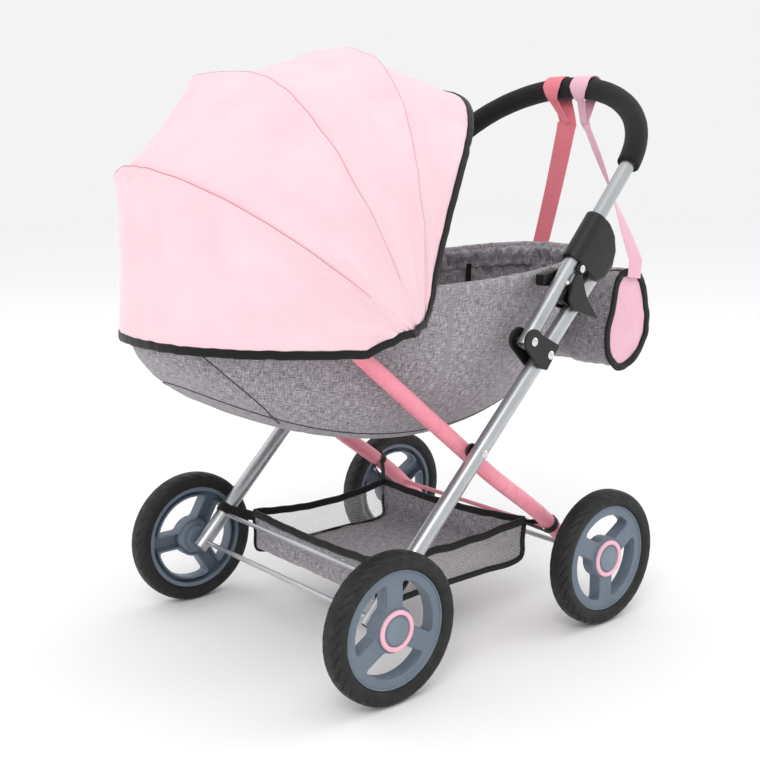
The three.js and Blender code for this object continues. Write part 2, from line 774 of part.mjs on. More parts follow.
// Stations across the bag: share of the half width, swell of the rear and hollow of the front.
const BAG_STATIONS = [
  [-1, 1, 0],
  [-0.6, 1.07, 11],
  [0, 1.1, 15],
  [0.6, 1.07, 11],
  [1, 1, 0],
];
const BAG_MIDDLE_Y = 432;
addMesh('bag', loft(BAG_STATIONS.map(([station, swell, hollow]) => BAG_SECTION.map(([y, z]) => {
  const fromMiddle = y - BAG_MIDDLE_Y;
  const depth = fromMiddle > 0 ? fromMiddle * swell : fromMiddle + hollow * Math.min(1, -fromMiddle / 20);
  return [station * BAG_HALF_WIDTH, BAG_MIDDLE_Y + depth, z];
}))), bagGrey);

// Each end of the strap runs from its foot on the bag up to its head under the grip.
const BAG_STRAPS = [
  { side: 'left', foot: [98, 437, 379], head: [24, 436.5, 565] },
  { side: 'right', foot: [-64, 452, 376.8], head: [-14, 436.5, 565] },
];
const STRAP_HALF_WIDTH = 10;
const STRAP_THICKNESS = 1.8;

function strapRing([x, y, z]) {
  return [
    [x - STRAP_THICKNESS / 2, y - STRAP_HALF_WIDTH, z],
    [x + STRAP_THICKNESS / 2, y - STRAP_HALF_WIDTH, z],
    [x + STRAP_THICKNESS / 2, y + STRAP_HALF_WIDTH, z],
    [x - STRAP_THICKNESS / 2, y + STRAP_HALF_WIDTH, z],
  ];
}

for (const { side, foot, head } of BAG_STRAPS) {
  addMesh(`bag_strap_${side}`, loft([strapRing(foot), strapRing(head)]), strapPink);
}

export default pram;
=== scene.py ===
"""Doll pram: the fabric, wheels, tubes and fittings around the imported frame, in metres."""

import math

import bpy
from mathutils import Matrix, Vector, noise


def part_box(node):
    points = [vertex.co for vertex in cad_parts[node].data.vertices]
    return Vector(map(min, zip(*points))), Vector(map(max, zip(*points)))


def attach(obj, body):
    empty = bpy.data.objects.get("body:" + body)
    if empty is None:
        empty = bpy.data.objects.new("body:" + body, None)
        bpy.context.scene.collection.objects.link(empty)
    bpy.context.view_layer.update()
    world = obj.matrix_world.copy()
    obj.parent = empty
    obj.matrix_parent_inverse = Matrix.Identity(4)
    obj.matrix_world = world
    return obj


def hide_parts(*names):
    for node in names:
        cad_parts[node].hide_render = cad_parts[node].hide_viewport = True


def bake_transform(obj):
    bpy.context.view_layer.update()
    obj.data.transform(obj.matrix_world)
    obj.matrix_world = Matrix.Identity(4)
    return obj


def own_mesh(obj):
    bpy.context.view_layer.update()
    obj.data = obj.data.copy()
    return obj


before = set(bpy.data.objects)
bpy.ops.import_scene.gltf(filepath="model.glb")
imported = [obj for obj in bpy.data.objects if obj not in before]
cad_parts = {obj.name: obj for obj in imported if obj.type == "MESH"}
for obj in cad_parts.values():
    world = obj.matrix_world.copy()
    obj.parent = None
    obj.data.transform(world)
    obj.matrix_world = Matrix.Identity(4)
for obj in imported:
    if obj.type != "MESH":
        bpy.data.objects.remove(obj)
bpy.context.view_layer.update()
scene = bpy.context.scene

MM = 0.001
TAU = 2 * math.pi
SIDES = (("left", 1), ("right", -1))
AXLE_LOW, AXLE_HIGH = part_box("front_axle")
FRONT_AXLE_Y = (AXLE_LOW.y + AXLE_HIGH.y) / 2


def at(x, y, z):
    """A point given in millimetres, with y counted from the front axle."""
    return Vector((x * MM, FRONT_AXLE_Y + y * MM, z * MM))


# ---- camera ----

CAMERA_PLACE = at(994.975, -690.464, 528.652)
CAMERA_YAW, CAMERA_PITCH, CAMERA_ROLL = (math.radians(a) for a in (-50.227, 11.387, -0.319))
CAMERA_LENS = 57.22


def make_camera():
    yaw, pitch, roll = CAMERA_YAW, CAMERA_PITCH, CAMERA_ROLL
    forward = Vector((math.sin(yaw) * math.cos(pitch), math.cos(yaw) * math.cos(pitch), -math.sin(pitch)))
    right = Vector((math.cos(yaw), -math.sin(yaw), 0))
    up = right.cross(forward)
    rolled_right = math.cos(roll) * right + math.sin(roll) * up
    rolled_up = -math.sin(roll) * right + math.cos(roll) * up
    turn = Matrix((rolled_right, rolled_up, -forward)).transposed()
    camera = bpy.data.objects.new("camera", bpy.data.cameras.new("camera"))
    camera.data.lens = CAMERA_LENS
    camera.data.sensor_width = 36
    camera.matrix_world = Matrix.Translation(CAMERA_PLACE) @ turn.to_4x4()
    scene.collection.objects.link(camera)
    scene.camera = camera


make_camera()
scene.view_settings.view_transform = "Standard"

# ---- materials ----


def linear(hex_colour):
    """A linear RGBA colour from the usual six digits."""
    parts = [int(hex_colour[i:i + 2], 16) / 255 for i in (1, 3, 5)]
    values = [c / 12.92 if c <= 0.04045 else ((c + 0.055) / 1.055) ** 2.4 for c in parts]
    return (*values, 1)


# Places of the factor, the two colours and the colour result among a Mix node's sockets.
MIX_INPUTS, MIX_RESULT = (0, 6, 7), 2
WAVES_PER_METRE = 0.3142
WEAVE_PERIOD = 0.0008
YARN_LONG, YARN_THIN = 110, 1300


class Finish:
    """A principled material whose detail comes from procedural nodes."""

    def __init__(self, name, colour, roughness, metallic=0.0, coords="Object"):
        self.material = bpy.data.materials.new(name)
        self.material.use_nodes = True
        self.tree = self.material.node_tree
        self.shader = self.tree.nodes["Principled BSDF"]
        self.shader.inputs["Base Color"].default_value = linear(colour)
        self.shader.inputs["Roughness"].default_value = roughness
        self.shader.inputs["Metallic"].default_value = metallic
        self.coords = self.tree.nodes.new("ShaderNodeTexCoord").outputs[coords]
        self.normal = None

    def link(self, output, target):
        self.tree.links.new(output, target)

    def set(self, **values):
        for name, value in values.items():
            self.shader.inputs[name.replace("_", " ")].default_value = value
        return self

    def scaled(self, scale):
        mapping = self.tree.nodes.new("ShaderNodeMapping")
        mapping.inputs["Scale"].default_value = scale
        self.link(self.coords, mapping.inputs["Vector"])
        return mapping.outputs["Vector"]

    def noise(self, scale, detail=2.0, roughness=0.5):
        """Noise with its own scale along each axis, in cycles per metre."""
        node = self.tree.nodes.new("ShaderNodeTexNoise")
        node.inputs["Scale"].default_value = 1.0
        node.inputs["Detail"].default_value = detail
        node.inputs["Roughness"].default_value = roughness
        self.link(self.scaled(scale), node.inputs["Vector"])
        return node.outputs["Fac"]

    def bands(self, axis, period):
        """Smooth threads across one axis, one period apart in metres."""
        node = self.tree.nodes.new("ShaderNodeTexWave")
        node.bands_direction = axis
        node.inputs["Scale"].default_value = WAVES_PER_METRE / period
        self.link(self.coords, node.inputs["Vector"])
        return node.outputs["Fac"]

    def cells(self, scale):
        node = self.tree.nodes.new("ShaderNodeTexVoronoi")
        node.inputs["Scale"].default_value = scale
        self.link(self.coords, node.inputs["Vector"])
        return node.outputs["Distance"]

    def math(self, operation, a, b):
        node = self.tree.nodes.new("ShaderNodeMath")
        node.operation = operation
        for socket, value in zip(node.inputs, (a, b)):
            if isinstance(value, (int, float)):
                socket.default_value = value
            else:
                self.link(value, socket)
        return node.outputs["Value"]

    def ramp(self, factor, *stops):
        """A colour or value ramp: stops are (place, colour)."""
        node = self.tree.nodes.new("ShaderNodeValToRGB")
        elements = node.color_ramp.elements
        while len(elements) < len(stops):
            elements.new(0.5)
        for element, (place, colour) in zip(elements, stops):
            element.position = place
            element.color = linear(colour) if isinstance(colour, str) else (colour, colour, colour, 1)
        self.link(factor, node.inputs["Fac"])
        return node.outputs["Color"]

    def mix(self, factor, a, b, blend="MIX"):
        node = self.tree.nodes.new("ShaderNodeMix")
        node.data_type = "RGBA"
        node.blend_type = blend
        for socket, value in zip((node.inputs[i] for i in MIX_INPUTS), (factor, a, b)):
            if isinstance(value, str):
                socket.default_value = linear(value)
            elif isinstance(value, (int, float)):
                socket.default_value = value
            else:
                self.link(value, socket)
        return node.outputs[MIX_RESULT]

    def colour(self, output):
        self.link(output, self.shader.inputs["Base Color"])
        return self

    def rough(self, output):
        self.link(output, self.shader.inputs["Roughness"])
        return self

    def bump(self, height, depth, strength=1.0):
        """Adds relief of the given depth in metres on top of any relief before it."""
        node = self.tree.nodes.new("ShaderNodeBump")
        node.inputs["Strength"].default_value = strength
        node.inputs["Distance"].default_value = depth
        self.link(height, node.inputs["Height"])
        if self.normal:
            self.link(self.normal, node.inputs["Normal"])
        self.normal = node.outputs["Normal"]
        self.link(self.normal, self.shader.inputs["Normal"])
        return self


def weave(made, warp, weft):
    """The height of a plain weave: the two thread directions take turns on top."""
    across = made.bands("X", warp)
    along = made.bands("Y", weft)
    return made.math("MAXIMUM", across, along)


def pink_fabric(name, light, shade, sheen=0.35):
    made = Finish(name, light, 0.82, coords="UV")
    made.set(Sheen_Weight=sheen, Sheen_Roughness=0.5, Specular_IOR_Level=0.25)
    soft = made.noise((14, 14, 14), 3)
    fleck = made.noise((1400, 260, 1), 2)
    tone = made.ramp(soft, (0.3, shade), (0.7, light))
    made.colour(made.mix(made.math("MULTIPLY", fleck, 0.12), tone, "#ffffff"))
    made.bump(weave(made, WEAVE_PERIOD, WEAVE_PERIOD), 0.00012, 0.5)
    made.bump(made.noise((120, 120, 120), 3), 0.0005, 0.25)
    return made.material


def melange_fabric(name, dark, middle, light):
    """Grey cloth whose yarns vary in tone along both thread directions."""
    made = Finish(name, middle, 0.92, coords="UV")
    made.set(Sheen_Weight=0.25, Sheen_Roughness=0.6, Specular_IOR_Level=0.2)
    along = made.noise((YARN_LONG, YARN_THIN, 1), 3, 0.65)
    across = made.noise((YARN_THIN, YARN_LONG, 1), 3, 0.65)
    stops = ((0.36, dark), (0.5, middle), (0.64, light))
    yarns = made.math("ADD", made.math("MULTIPLY", along, 0.5), made.math("MULTIPLY", across, 0.5))
    made.colour(made.mix(0.5, made.ramp(along, *stops), made.ramp(across, *stops)))
    made.bump(yarns, 0.0007, 0.7)
    made.bump(weave(made, 0.0011, 0.0011), 0.0002, 0.5)
    return made.material


def tape_fabric(name, colour, light):
    made = Finish(name, colour, 0.78, coords="UV")
    made.set(Sheen_Weight=0.2, Specular_IOR_Level=0.3)
    made.colour(made.ramp(made.noise((300, 900, 1), 3), (0.35, colour), (0.75, light)))
    made.bump(weave(made, 0.0009, 0.0016), 0.00025, 0.6)
    return made.material


def moulded_plastic(name, colour, light, roughness, grain=0.00006):
    """Moulded plastic: fine spark grain, faint changes of tone and uneven gloss."""
    made = Finish(name, colour, roughness)
    made.colour(made.ramp(made.noise((35, 35, 35), 4), (0.3, colour), (0.8, light)))
    gloss = made.noise((90, 90, 90), 3)
    made.rough(made.ramp(gloss, (0.3, roughness - 0.06), (0.75, roughness + 0.1)))
    made.bump(made.noise((2600, 2600, 2600), 2), grain, 0.6)
    return made.material


def tube_metal(name, colour, light, roughness, metallic):
    """Drawn tube: slow changes of tone, uneven gloss and a very fine grain."""
    made = Finish(name, colour, roughness, metallic)
    made.colour(made.ramp(made.noise((25, 25, 25), 3), (0.3, colour), (0.72, light)))
    gloss = made.noise((45, 45, 45), 4)
    made.rough(made.ramp(gloss, (0.3, roughness - 0.05), (0.75, roughness + 0.1)))
    made.bump(made.noise((2200, 2200, 2200), 2), 0.00001, 0.25)
    return made.material


def tyre_rubber(name):
    made = Finish(name, "#16171a", 0.62)
    made.colour(made.ramp(made.noise((55, 55, 55), 5), (0.35, "#090a0b"), (0.8, "#17181a")))
    made.rough(made.ramp(made.noise((130, 130, 130), 3), (0.3, 0.5), (0.75, 0.74)))
    made.bump(made.noise((1500, 1500, 1500), 2), 0.00008, 0.5)
    return made.material


def foam_rubber(name):
    made = Finish(name, "#0e0e0f", 0.85)
    made.set(Sheen_Weight=0.08, Sheen_Roughness=0.6, Specular_IOR_Level=0.25)
    pores = made.cells(1100)
    # The colour follows the pores and is darker in their pits: painted shade in the pores, on top of their
    # real relief.
    made.colour(made.ramp(pores, (0.1, "#0b0b0c"), (0.7, "#18181a")))
    made.bump(pores, 0.00035, 0.6)
    made.bump(made.noise((60, 60, 60), 3), 0.0006, 0.3)
    return made.material


TYRE = tyre_rubber("tyre_rubber")
RIM = moulded_plastic("wheel_plastic", "#64717f", "#6f7c8a", 0.4)
CAP = moulded_plastic("cap_plastic", "#6f7e8a", "#7b8a96", 0.36)
RING = moulded_plastic("ring_plastic", "#f3b3c6", "#f8c3d2", 0.34)
SILVER = tube_metal("silver_tube", "#b4b7ba", "#c4c7c9", 0.3, 0.9)
PINK_PAINT = tube_metal("pink_paint", "#f08d9f", "#f49aab", 0.28, 0.0)
BLACK = moulded_plastic("black_plastic", "#08090a", "#121315", 0.4)
RIVET = tube_metal("rivet_steel", "#cfd1d3", "#e4e6e8", 0.22, 0.95)
WIRE = tube_metal("steel_wire", "#a9adb1", "#c3c7ca", 0.32, 0.9)
FOAM = foam_rubber("grip_foam")
HOOD_CLOTH = pink_fabric("hood_cloth", "#f6d3dc", "#f3c8d3")
STRAP_CLOTH = pink_fabric("strap_cloth", "#ef7d8e", "#ea6f82", 0.15)
GUSSET_CLOTH = pink_fabric("gusset_cloth", "#f3bfcf", "#eeb0c4")
GREY_CLOTH = melange_fabric("grey_cloth", "#3f3a40", "#908a91", "#dcd8dc")
# The same grey cloth made darker and browner, for the pad inside the carrycot: painted shade of the
# carrycot's inside.
SHADED_LINING_CLOTH = melange_fabric("lining_cloth_painted_shade", "#3f3739", "#80777b", "#beb6ba")
BINDING = tape_fabric("black_binding", "#060607", "#131315")
NET = tape_fabric("net_thread", "#d9d8d8", "#f0efef")
THREAD = tape_fabric("seam_thread", "#3b373c", "#57525a")
SEAM_SHADE = tape_fabric("seam_shade", "#c97f92", "#d993a4")

# ---- geometry helpers ----

UP = Vector((0, 0, 1))
REARWARD = Vector((0, 1, 0))
LEFTWARD = Vector((1, 0, 0))


def clamp(value):
    return min(1.0, max(0.0, value))


def eased(t):
    """A smooth step from 0 to 1."""
    return t * t * (3 - 2 * t)


def hump(distance, width):
    """A smooth hump: 1 at no distance, fading out over about twice the width."""
    return math.exp(-(distance / width) ** 2)


def signed_power(value, exponent):
    """The power of a number's size, with the number's own sign."""
    return math.copysign(abs(value) ** exponent, value)


def shade_smooth(mesh):
    mesh.polygons.foreach_set("use_smooth", [True] * len(mesh.polygons))


def link_mesh(name, mesh, material, smooth_angle=None):
    mesh.materials.clear()
    mesh.materials.append(material)
    shade_smooth(mesh)
    if smooth_angle is not None:
        mesh.set_sharp_from_angle(angle=math.radians(smooth_angle))
    obj = bpy.data.objects.new(name, mesh)
    scene.collection.objects.link(obj)
    return obj


def build(name, points, faces, material, uvs=None, smooth_angle=None):
    """A mesh object from points in the row frame; uvs are one pair per point, in metres."""
    mesh = bpy.data.meshes.new(name)
    mesh.from_pydata([tuple(p) for p in points], [], faces)
    if uvs:
        layer = mesh.uv_layers.new(name="cloth")
        for loop in mesh.loops:
            layer.data[loop.index].uv = uvs[loop.vertex_index]
    mesh.update()
    return link_mesh(name, mesh, material, smooth_angle)


def grid_faces(rows, columns, wrap=False, start=0):
    """Quads of a grid of points; wrap joins the last column to the first."""
    faces = []
    for i in range(rows - 1):
        for j in range(columns if wrap else columns - 1):
            k = (j + 1) % columns
            faces.append((start + i * columns + j, start + i * columns + k,
                          start + (i + 1) * columns + k, start + (i + 1) * columns + j))
    return faces


def skin(name, rings, material, closed_path=False, caps=(True, True), uvs=None, smooth_angle=35):
    """A surface through rings of equal length, with flat caps where asked."""
    count = len(rings[0])
    points = [p for ring in rings for p in ring]
    faces = grid_faces(len(rings), count, wrap=True)
    if closed_path:
        last = (len(rings) - 1) * count
        faces += [(last + j, last + (j + 1) % count, (j + 1) % count, j) for j in range(count)]
    if caps[0] and not closed_path:
        faces.append(tuple(reversed(range(count))))
    if caps[1] and not closed_path:
        faces.append(tuple(range(len(points) - count, len(points))))
    return build(name, points, faces, material, uvs, smooth_angle)


def directions(points, closed=False):
    """The direction of a path at each of its points."""
    count = len(points)
    out = []
    for i, point in enumerate(points):
        before = points[i - 1] if (i or closed) else point
        after = points[(i + 1) % count] if (i + 1 < count or closed) else point
        out.append((after - before).normalized())
    return out


def path_frames(points, first_side=None, closed=False):
    """For each point of a path: its direction and a side vector that turns as little as possible."""
    frames = []
    side = first_side
    for forward in directions(points, closed):
        if side is None:
            side = forward.orthogonal()
        side = (side - forward * side.dot(forward)).normalized()
        frames.append((forward, side))
    return frames


def ring_at(point, side, up, half_width, half_height, count, power=2.0):
    """A ring of points, round at power 2 and squarer above it."""
    ring = []
    for i in range(count):
        angle = TAU * i / count
        c, s = math.cos(angle), math.sin(angle)
        across = signed_power(c, 2 / power) * half_width
        rise = signed_power(s, 2 / power) * half_height
        ring.append(point + side * across + up * rise)
    return ring


def distances(points):
    """How far along the path each point is."""
    total, out = 0.0, [0.0]
    for a, b in zip(points, points[1:]):
        total += (b - a).length
        out.append(total)
    return out


TUBE_SIDES = 32
TUBE_WALL, MOUTH_DEPTH, MOUTH_CHAMFER = 1.2 * MM, 14 * MM, 0.4 * MM


def open_tube(name, points, radius, material, squash_at=None, first_side=None):
    """A hollow tube whose mouths show the wall and a dark inside. squash_at gives its (side, up) scales."""
    frames = path_frames(points, first_side)
    inside = radius - TUBE_WALL
    rings = []

    def add(i, r, shift=0.0):
        forward, side = frames[i]
        up = forward.cross(side)
        wide, tall = squash_at(i) if squash_at else (1, 1)
        rings.append(ring_at(points[i] + forward * shift, side, up, r * wide, r * tall, TUBE_SIDES))

    last = len(points) - 1
    mouth = ((inside, MOUTH_DEPTH), (inside, 0.3 * MM), (radius - MOUTH_CHAMFER, 0.0), (radius, 0.5 * MM))
    for r, shift in mouth:
        add(0, r, shift)
    for i in range(1, last):
        add(i, radius)
    for r, shift in reversed(mouth):
        add(last, r, -shift)
    return skin(name, rings, material)


def cord_of(name, points, radius, material, closed=False, sides=12):
    """A plain round strand along a path."""
    frames = path_frames(points, closed=closed)
    rings = [ring_at(p, s, f.cross(s), radius, radius, sides) for p, (f, s) in zip(points, frames)]
    return skin(name, rings, material, closed_path=closed)


def tape(name, points, widths, width, thickness, material, closed=False, power=3.2):
    """A flat band along a path. widths gives its across direction at each point."""
    rings, uvs = [], []
    sides = 16
    along = distances(points)
    for i, (point, forward) in enumerate(zip(points, directions(points, closed))):
        across = (widths[i] - forward * widths[i].dot(forward)).normalized()
        up = forward.cross(across)
        w = width(i / (len(points) - 1)) if callable(width) else width
        rings.append(ring_at(point, across, up, w / 2, thickness / 2, sides, power))
        uvs += [(w * k / sides, along[i]) for k in range(sides)]
    return skin(name, rings, material, closed, uvs=uvs, smooth_angle=60)


def lathe_x(name, profile, centre, side, material, segments=72, bumps=None, smooth_angle=30):
    """A ring or disc about the X axis. profile is [radius, x] in millimetres, x towards the outside."""
    rings = []
    for i in range(segments):
        angle = TAU * i / segments
        ring = []
        for radius, x in profile:
            r = radius + (bumps(angle, radius, x) if bumps else 0)
            ring.append(centre + Vector((side * x, r * math.cos(angle) * side, r * math.sin(angle))) * MM)
        rings.append(ring)
    return skin(name, rings, material, closed_path=True, smooth_angle=smooth_angle)


ROD_SIDES = 28


def rod_x(name, x0, x1, centre, radius, material, chamfer=0.6, dome=0.0):
    """A solid round bar along X, in millimetres from x0 to x1 at centre's y and z."""
    centre = Vector((0, centre.y, centre.z))
    sign = 1 if x1 > x0 else -1
    stations = [(x0, radius - chamfer), (x0 + sign * chamfer, radius), (x1 - sign * chamfer, radius),
                (x1, radius - chamfer)]
    if dome:
        stations += [(x1 + sign * dome * 0.7, radius * 0.6), (x1 + sign * dome, radius * 0.2)]
    rings = [ring_at(centre + Vector((x * MM, 0, 0)), REARWARD, UP, r * MM, r * MM, ROD_SIDES)
             for x, r in stations]
    return skin(name, rings, material, smooth_angle=40)


def rounded(corners, radius, steps=5):
    """An outline with its corners rounded. corners are [y, z] pairs; radius is one number or one each."""
    out = []
    count = len(corners)
    for i in range(count):
        here = Vector(corners[i])
        before = Vector(corners[i - 1]) - here
        after = Vector(corners[(i + 1) % count]) - here
        r = radius[i] if isinstance(radius, (list, tuple)) else radius
        half = before.angle(after) / 2
        reach = min(r / math.tan(half), 0.45 * before.length, 0.45 * after.length)
        start = here + before.normalized() * reach
        end = here + after.normalized() * reach
        for k in range(steps + 1):
            t = k / steps
            out.append(start * (1 - t) ** 2 + here * (2 * t * (1 - t)) + end * t ** 2)
    return out


def plate(name, outlines, x0, x1, material, bevel=0.8):
    """A flat piece with rounded edges between x0 and x1. The first outline is the rim, the others holes."""
    curve = bpy.data.curves.new(name, "CURVE")
    curve.dimensions = "2D"
    curve.fill_mode = "BOTH"
    curve.extrude = abs(x1 - x0) / 2 - bevel
    curve.bevel_depth = bevel
    curve.bevel_resolution = 2
    curve.offset = -bevel
    for outline in outlines:
        spline = curve.splines.new("POLY")
        spline.points.add(len(outline) - 1)
        for point, (y, z) in zip(spline.points, outline):
            point.co = (y, z, 0, 1)
        spline.use_cyclic_u = True
    holder = bpy.data.objects.new(name + "_curve", curve)
    scene.collection.objects.link(holder)
    bpy.context.view_layer.update()
    mesh = bpy.data.meshes.new_from_object(holder.evaluated_get(bpy.context.evaluated_depsgraph_get()))
    bpy.data.objects.remove(holder)
    mid = (x0 + x1) / 2
    turn = Matrix(((0, 0, 1, mid), (1, 0, 0, 0), (0, 1, 0, 0), (0, 0, 0, 1)))
    mesh.transform(Matrix.Translation((0, FRONT_AXLE_Y, 0)) @ Matrix.Scale(MM, 4) @ turn)
    return link_mesh(name, mesh, material, 30)


def join(name, *objects):
    """Joins mesh objects into the first one and renames it."""
    with bpy.context.temp_override(active_object=objects[0], selected_editable_objects=list(objects)):
        bpy.ops.object.join()
    objects[0].name = name
    return objects[0]


def piece(obj, body, slot, *replaced):
    """Puts a finished piece on its body and hides the CAD nodes it stands for. Its material slot is not used.
    """
    if body:
        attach(obj, body)
    if replaced:
        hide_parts(*replaced)
    return obj


def ripple(*place):
    """Smooth noise from -1 to 1."""
    return noise.noise(Vector(place))


def apply_modifiers(obj):
    mesh = bpy.data.meshes.new_from_object(obj.evaluated_get(bpy.context.evaluated_depsgraph_get()))
    obj.modifiers.clear()
    obj.data = mesh
    return obj


def thicken(obj, thickness):
    """Gives a sheet its thickness, half to each side."""
    solid = obj.modifiers.new("thickness", "SOLIDIFY")
    solid.thickness = thickness
    solid.offset = 0
    bpy.context.view_layer.update()
    return apply_modifiers(obj)


# ---- wheels ----

TYRE_BLOCKS, POINTS_PER_BLOCK = 34, 16
TREAD_DEPTH, TREAD_START, TREAD_RAMP = 1.3, 64, 2.5
TYRE_MIDDLE, TYRE_HALF_HEIGHT, TYRE_HALF_WIDTH, TYRE_POWER = 66.2, 8.8, 12.3, 2.7
TYRE_POINTS = 52
FACE_RADIUS = 57
BARREL = [(54.6, -8.6), (58.9, -8.8), (58.9, 7.6), (58.2, 8.6), (56.9, 8.4), (56.2, 7.2), (54.6, 6.6)]
HUB = [(3.2, -15), (12.5, -15), (13.6, -14.2), (15.5, -8), (20.4, -5.5), (21.2, -4.5), (21.2, 7.8),
       (20.6, 8.7), (19.9, 9), (3.2, 9)]
HUB_RING = [(15.6, 9.2), (20.3, 9.2), (20.3, 10.6), (19.6, 11.4), (16.4, 11.4), (15.6, 10.7)]
HUB_CAP = [(0.05, 9.1), (14.9, 9.1), (14.9, 9.9), (13.7, 9.9), (13.4, 10.6), (12.7, 11.4), (9.5, 11.8),
           (0.05, 12.0)]
WHEELS = (("front_left", 1, 0), ("front_right", -1, math.pi / 6), ("rear_left", 1, math.pi),
          ("rear_right", -1, math.pi / 3))
WINDOW_CORNERS, CORNER_ROUND, EDGE_ROUND = (0, 4, 5, 13), 5.5, 30
WINDOW_INNER, WINDOW_OUTER, SPOKE_HALF = 23.0, 48.0, 10.0
RIM_WALL = 2.2


def tread(angle, radius, x):
    """How much the tyre's surface sinks between its curved shoulder blocks, in millimetres."""
    if radius < TREAD_START:
        return 0.0
    lean = 1.3 * (abs(x) / 12) ** 2 * math.copysign(1, x)
    phase = TYRE_BLOCKS * angle / TAU + lean + (0.5 if x > 0 else 0)
    wave = math.cos(TAU * phase)
    groove = clamp((wave - 0.72) / 0.2)
    zone = clamp((abs(x) - 4.5) / 1.5) * min(1.0, (radius - TREAD_START) / TREAD_RAMP)
    return -TREAD_DEPTH * groove * zone


def tyre_profile():
    """A rounded tyre section as [radius, x], counter-clockwise from its outer wall."""
    points = []
    for i in range(TYRE_POINTS):
        angle = TAU * i / TYRE_POINTS
        x = TYRE_HALF_WIDTH * signed_power(math.cos(angle), 2 / TYRE_POWER)
        r = TYRE_MIDDLE + TYRE_HALF_HEIGHT * signed_power(math.sin(angle), 2 / TYRE_POWER)
        points.append((r, x))
    return points


def window_outline(turn, grow=0.0):
    """A wheel's window between two spokes, as [y, z] about the hub; grow widens it."""
    inner, outer, half = WINDOW_INNER - grow, WINDOW_OUTER + grow, SPOKE_HALF - grow
    start_in, start_out = math.asin(half / inner), math.asin(half / outer)
    third = TAU / 3
    corners = []
    for k in range(5):
        a = start_in + (third - 2 * start_in) * k / 4
        corners.append((inner, a))
    for k in range(9):
        a = third - start_out - (third - 2 * start_out) * k / 8
        corners.append((outer, a))
    shape = [(-r * math.sin(a + turn), r * math.cos(a + turn)) for r, a in corners]
    radii = [CORNER_ROUND if i in WINDOW_CORNERS else EDGE_ROUND for i in range(len(shape))]
    return rounded(shape, radii, 5)


def circle(radius, count=72):
    return [(radius * math.cos(TAU * i / count), radius * math.sin(TAU * i / count)) for i in range(count)]


def make_wheel(place, side, turn):
    low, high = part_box(f"tyre_{place}")
    centre = (low + high) / 2
    body = f"wheel_{place}"
    tyre = lathe_x(f"{place}_tyre", tyre_profile(), centre, side, TYRE,
                   TYRE_BLOCKS * POINTS_PER_BLOCK, tread, 50)
    piece(tyre, body, "tyre", f"tyre_{place}")
    turns = [turn + k * TAU / 3 for k in range(3)]
    windows = [window_outline(t) for t in turns]
    face = plate(f"{place}_rim", [circle(FACE_RADIUS)] + windows, 2.2, 7.4, RIM, 1.1)
    walls = [plate(f"{place}_wall{k}", [window_outline(t, RIM_WALL), window_outline(t, 0.1)],
                   -7.5, 6.8, RIM, 0.4) for k, t in enumerate(turns)]
    pole = Matrix.Rotation(math.pi, 4, "Z") if side < 0 else Matrix.Identity(4)
    for obj in (face, *walls):
        obj.data.transform(Matrix.Translation((0, -FRONT_AXLE_Y, 0)))
        obj.data.transform(Matrix.Translation(centre) @ pole)
    barrel = lathe_x(f"{place}_barrel", BARREL, centre, side, RIM, 96)
    hub = lathe_x(f"{place}_hub", HUB, centre, side, RIM, 64)
    rim = join(f"{place}_rim", face, *walls, barrel, hub)
    piece(rim, body, "wheel_rim", f"rim_{place}")
    ring = lathe_x(f"{place}_ring", HUB_RING, centre, side, RING, 64, smooth_angle=60)
    piece(ring, body, "pink_paint", f"hub_ring_{place}")
    cap = lathe_x(f"{place}_cap", HUB_CAP, centre, side, CAP, 56)
    piece(cap, body, "wheel_rim", f"hub_cap_{place}")


for wheel in WHEELS:
    make_wheel(*wheel)

# ---- tubes, axles and rods ----

LEG_X, LEG_RADIUS, LEG_SLOPE, LEG_BASE_Z = 152, 8.5, 1.0065, 74.3
REAR_TUBE_X, REAR_TUBE_RADIUS = 131, 8.5
WHEEL_RADIUS = 75
HINGE, SCISSOR, LEG_RIVET = (206, 323), (140.4, 215.6), (230.7, 306.5)
FRONT_CROSS, REAR_CROSS, NUT_RADIUS = (27, 103), (283, 98), 3.6
SCISSOR_PIN, SPACER_FACES = (118, 162), (139.9, 143.1)
LEG_START, LEG_END = -6, 312
FLAT_LENGTH, SLEEVE_RADIUS = 34, 6
REAR_ROUTE = [(309.6, 71), (262, 117), (176, 183), (156, 200), (139, 214.5), (60, 281), (-32, 360)]


def through(knots, steps):
    """A smooth line through its knots, in knot order."""
    out = []
    for i in range(len(knots) - 1):
        p0, p1 = knots[max(i - 1, 0)], knots[i]
        p2, p3 = knots[i + 1], knots[min(i + 2, len(knots) - 1)]
        d0, d1, d2 = ((b - a).length ** 0.5 for a, b in ((p0, p1), (p1, p2), (p2, p3)))
        m1 = p2 - p1 if d0 == 0 else (p1 - p0) * (d1 / d0) ** 2 * 0.5 + (p2 - p1) * 0.5
        m2 = p2 - p1 if d2 == 0 else (p3 - p2) * (d1 / d2) ** 2 * 0.5 + (p2 - p1) * 0.5
        for k in range(steps):
            t = k / steps
            t2, t3 = t * t, t * t * t
            out.append(p1 * (2 * t3 - 3 * t2 + 1) + m1 * (t3 - 2 * t2 + t)
                       + p2 * (3 * t2 - 2 * t3) + m2 * (t3 - t2))
    out.append(knots[-1])
    return out


def straight(a, b, steps):
    return [a.lerp(b, i / steps) for i in range(steps + 1)]


def rivet(name, centre, x, side, body, slot="silver_tube", radius=4.2, replaced=()):
    """A domed rivet head standing on a face at x, pointing outward."""
    head = rod_x(name, x, x + side * 0.9, centre, radius, RIVET, 0.3, 1.6)
    return piece(head, body, slot, *replaced)


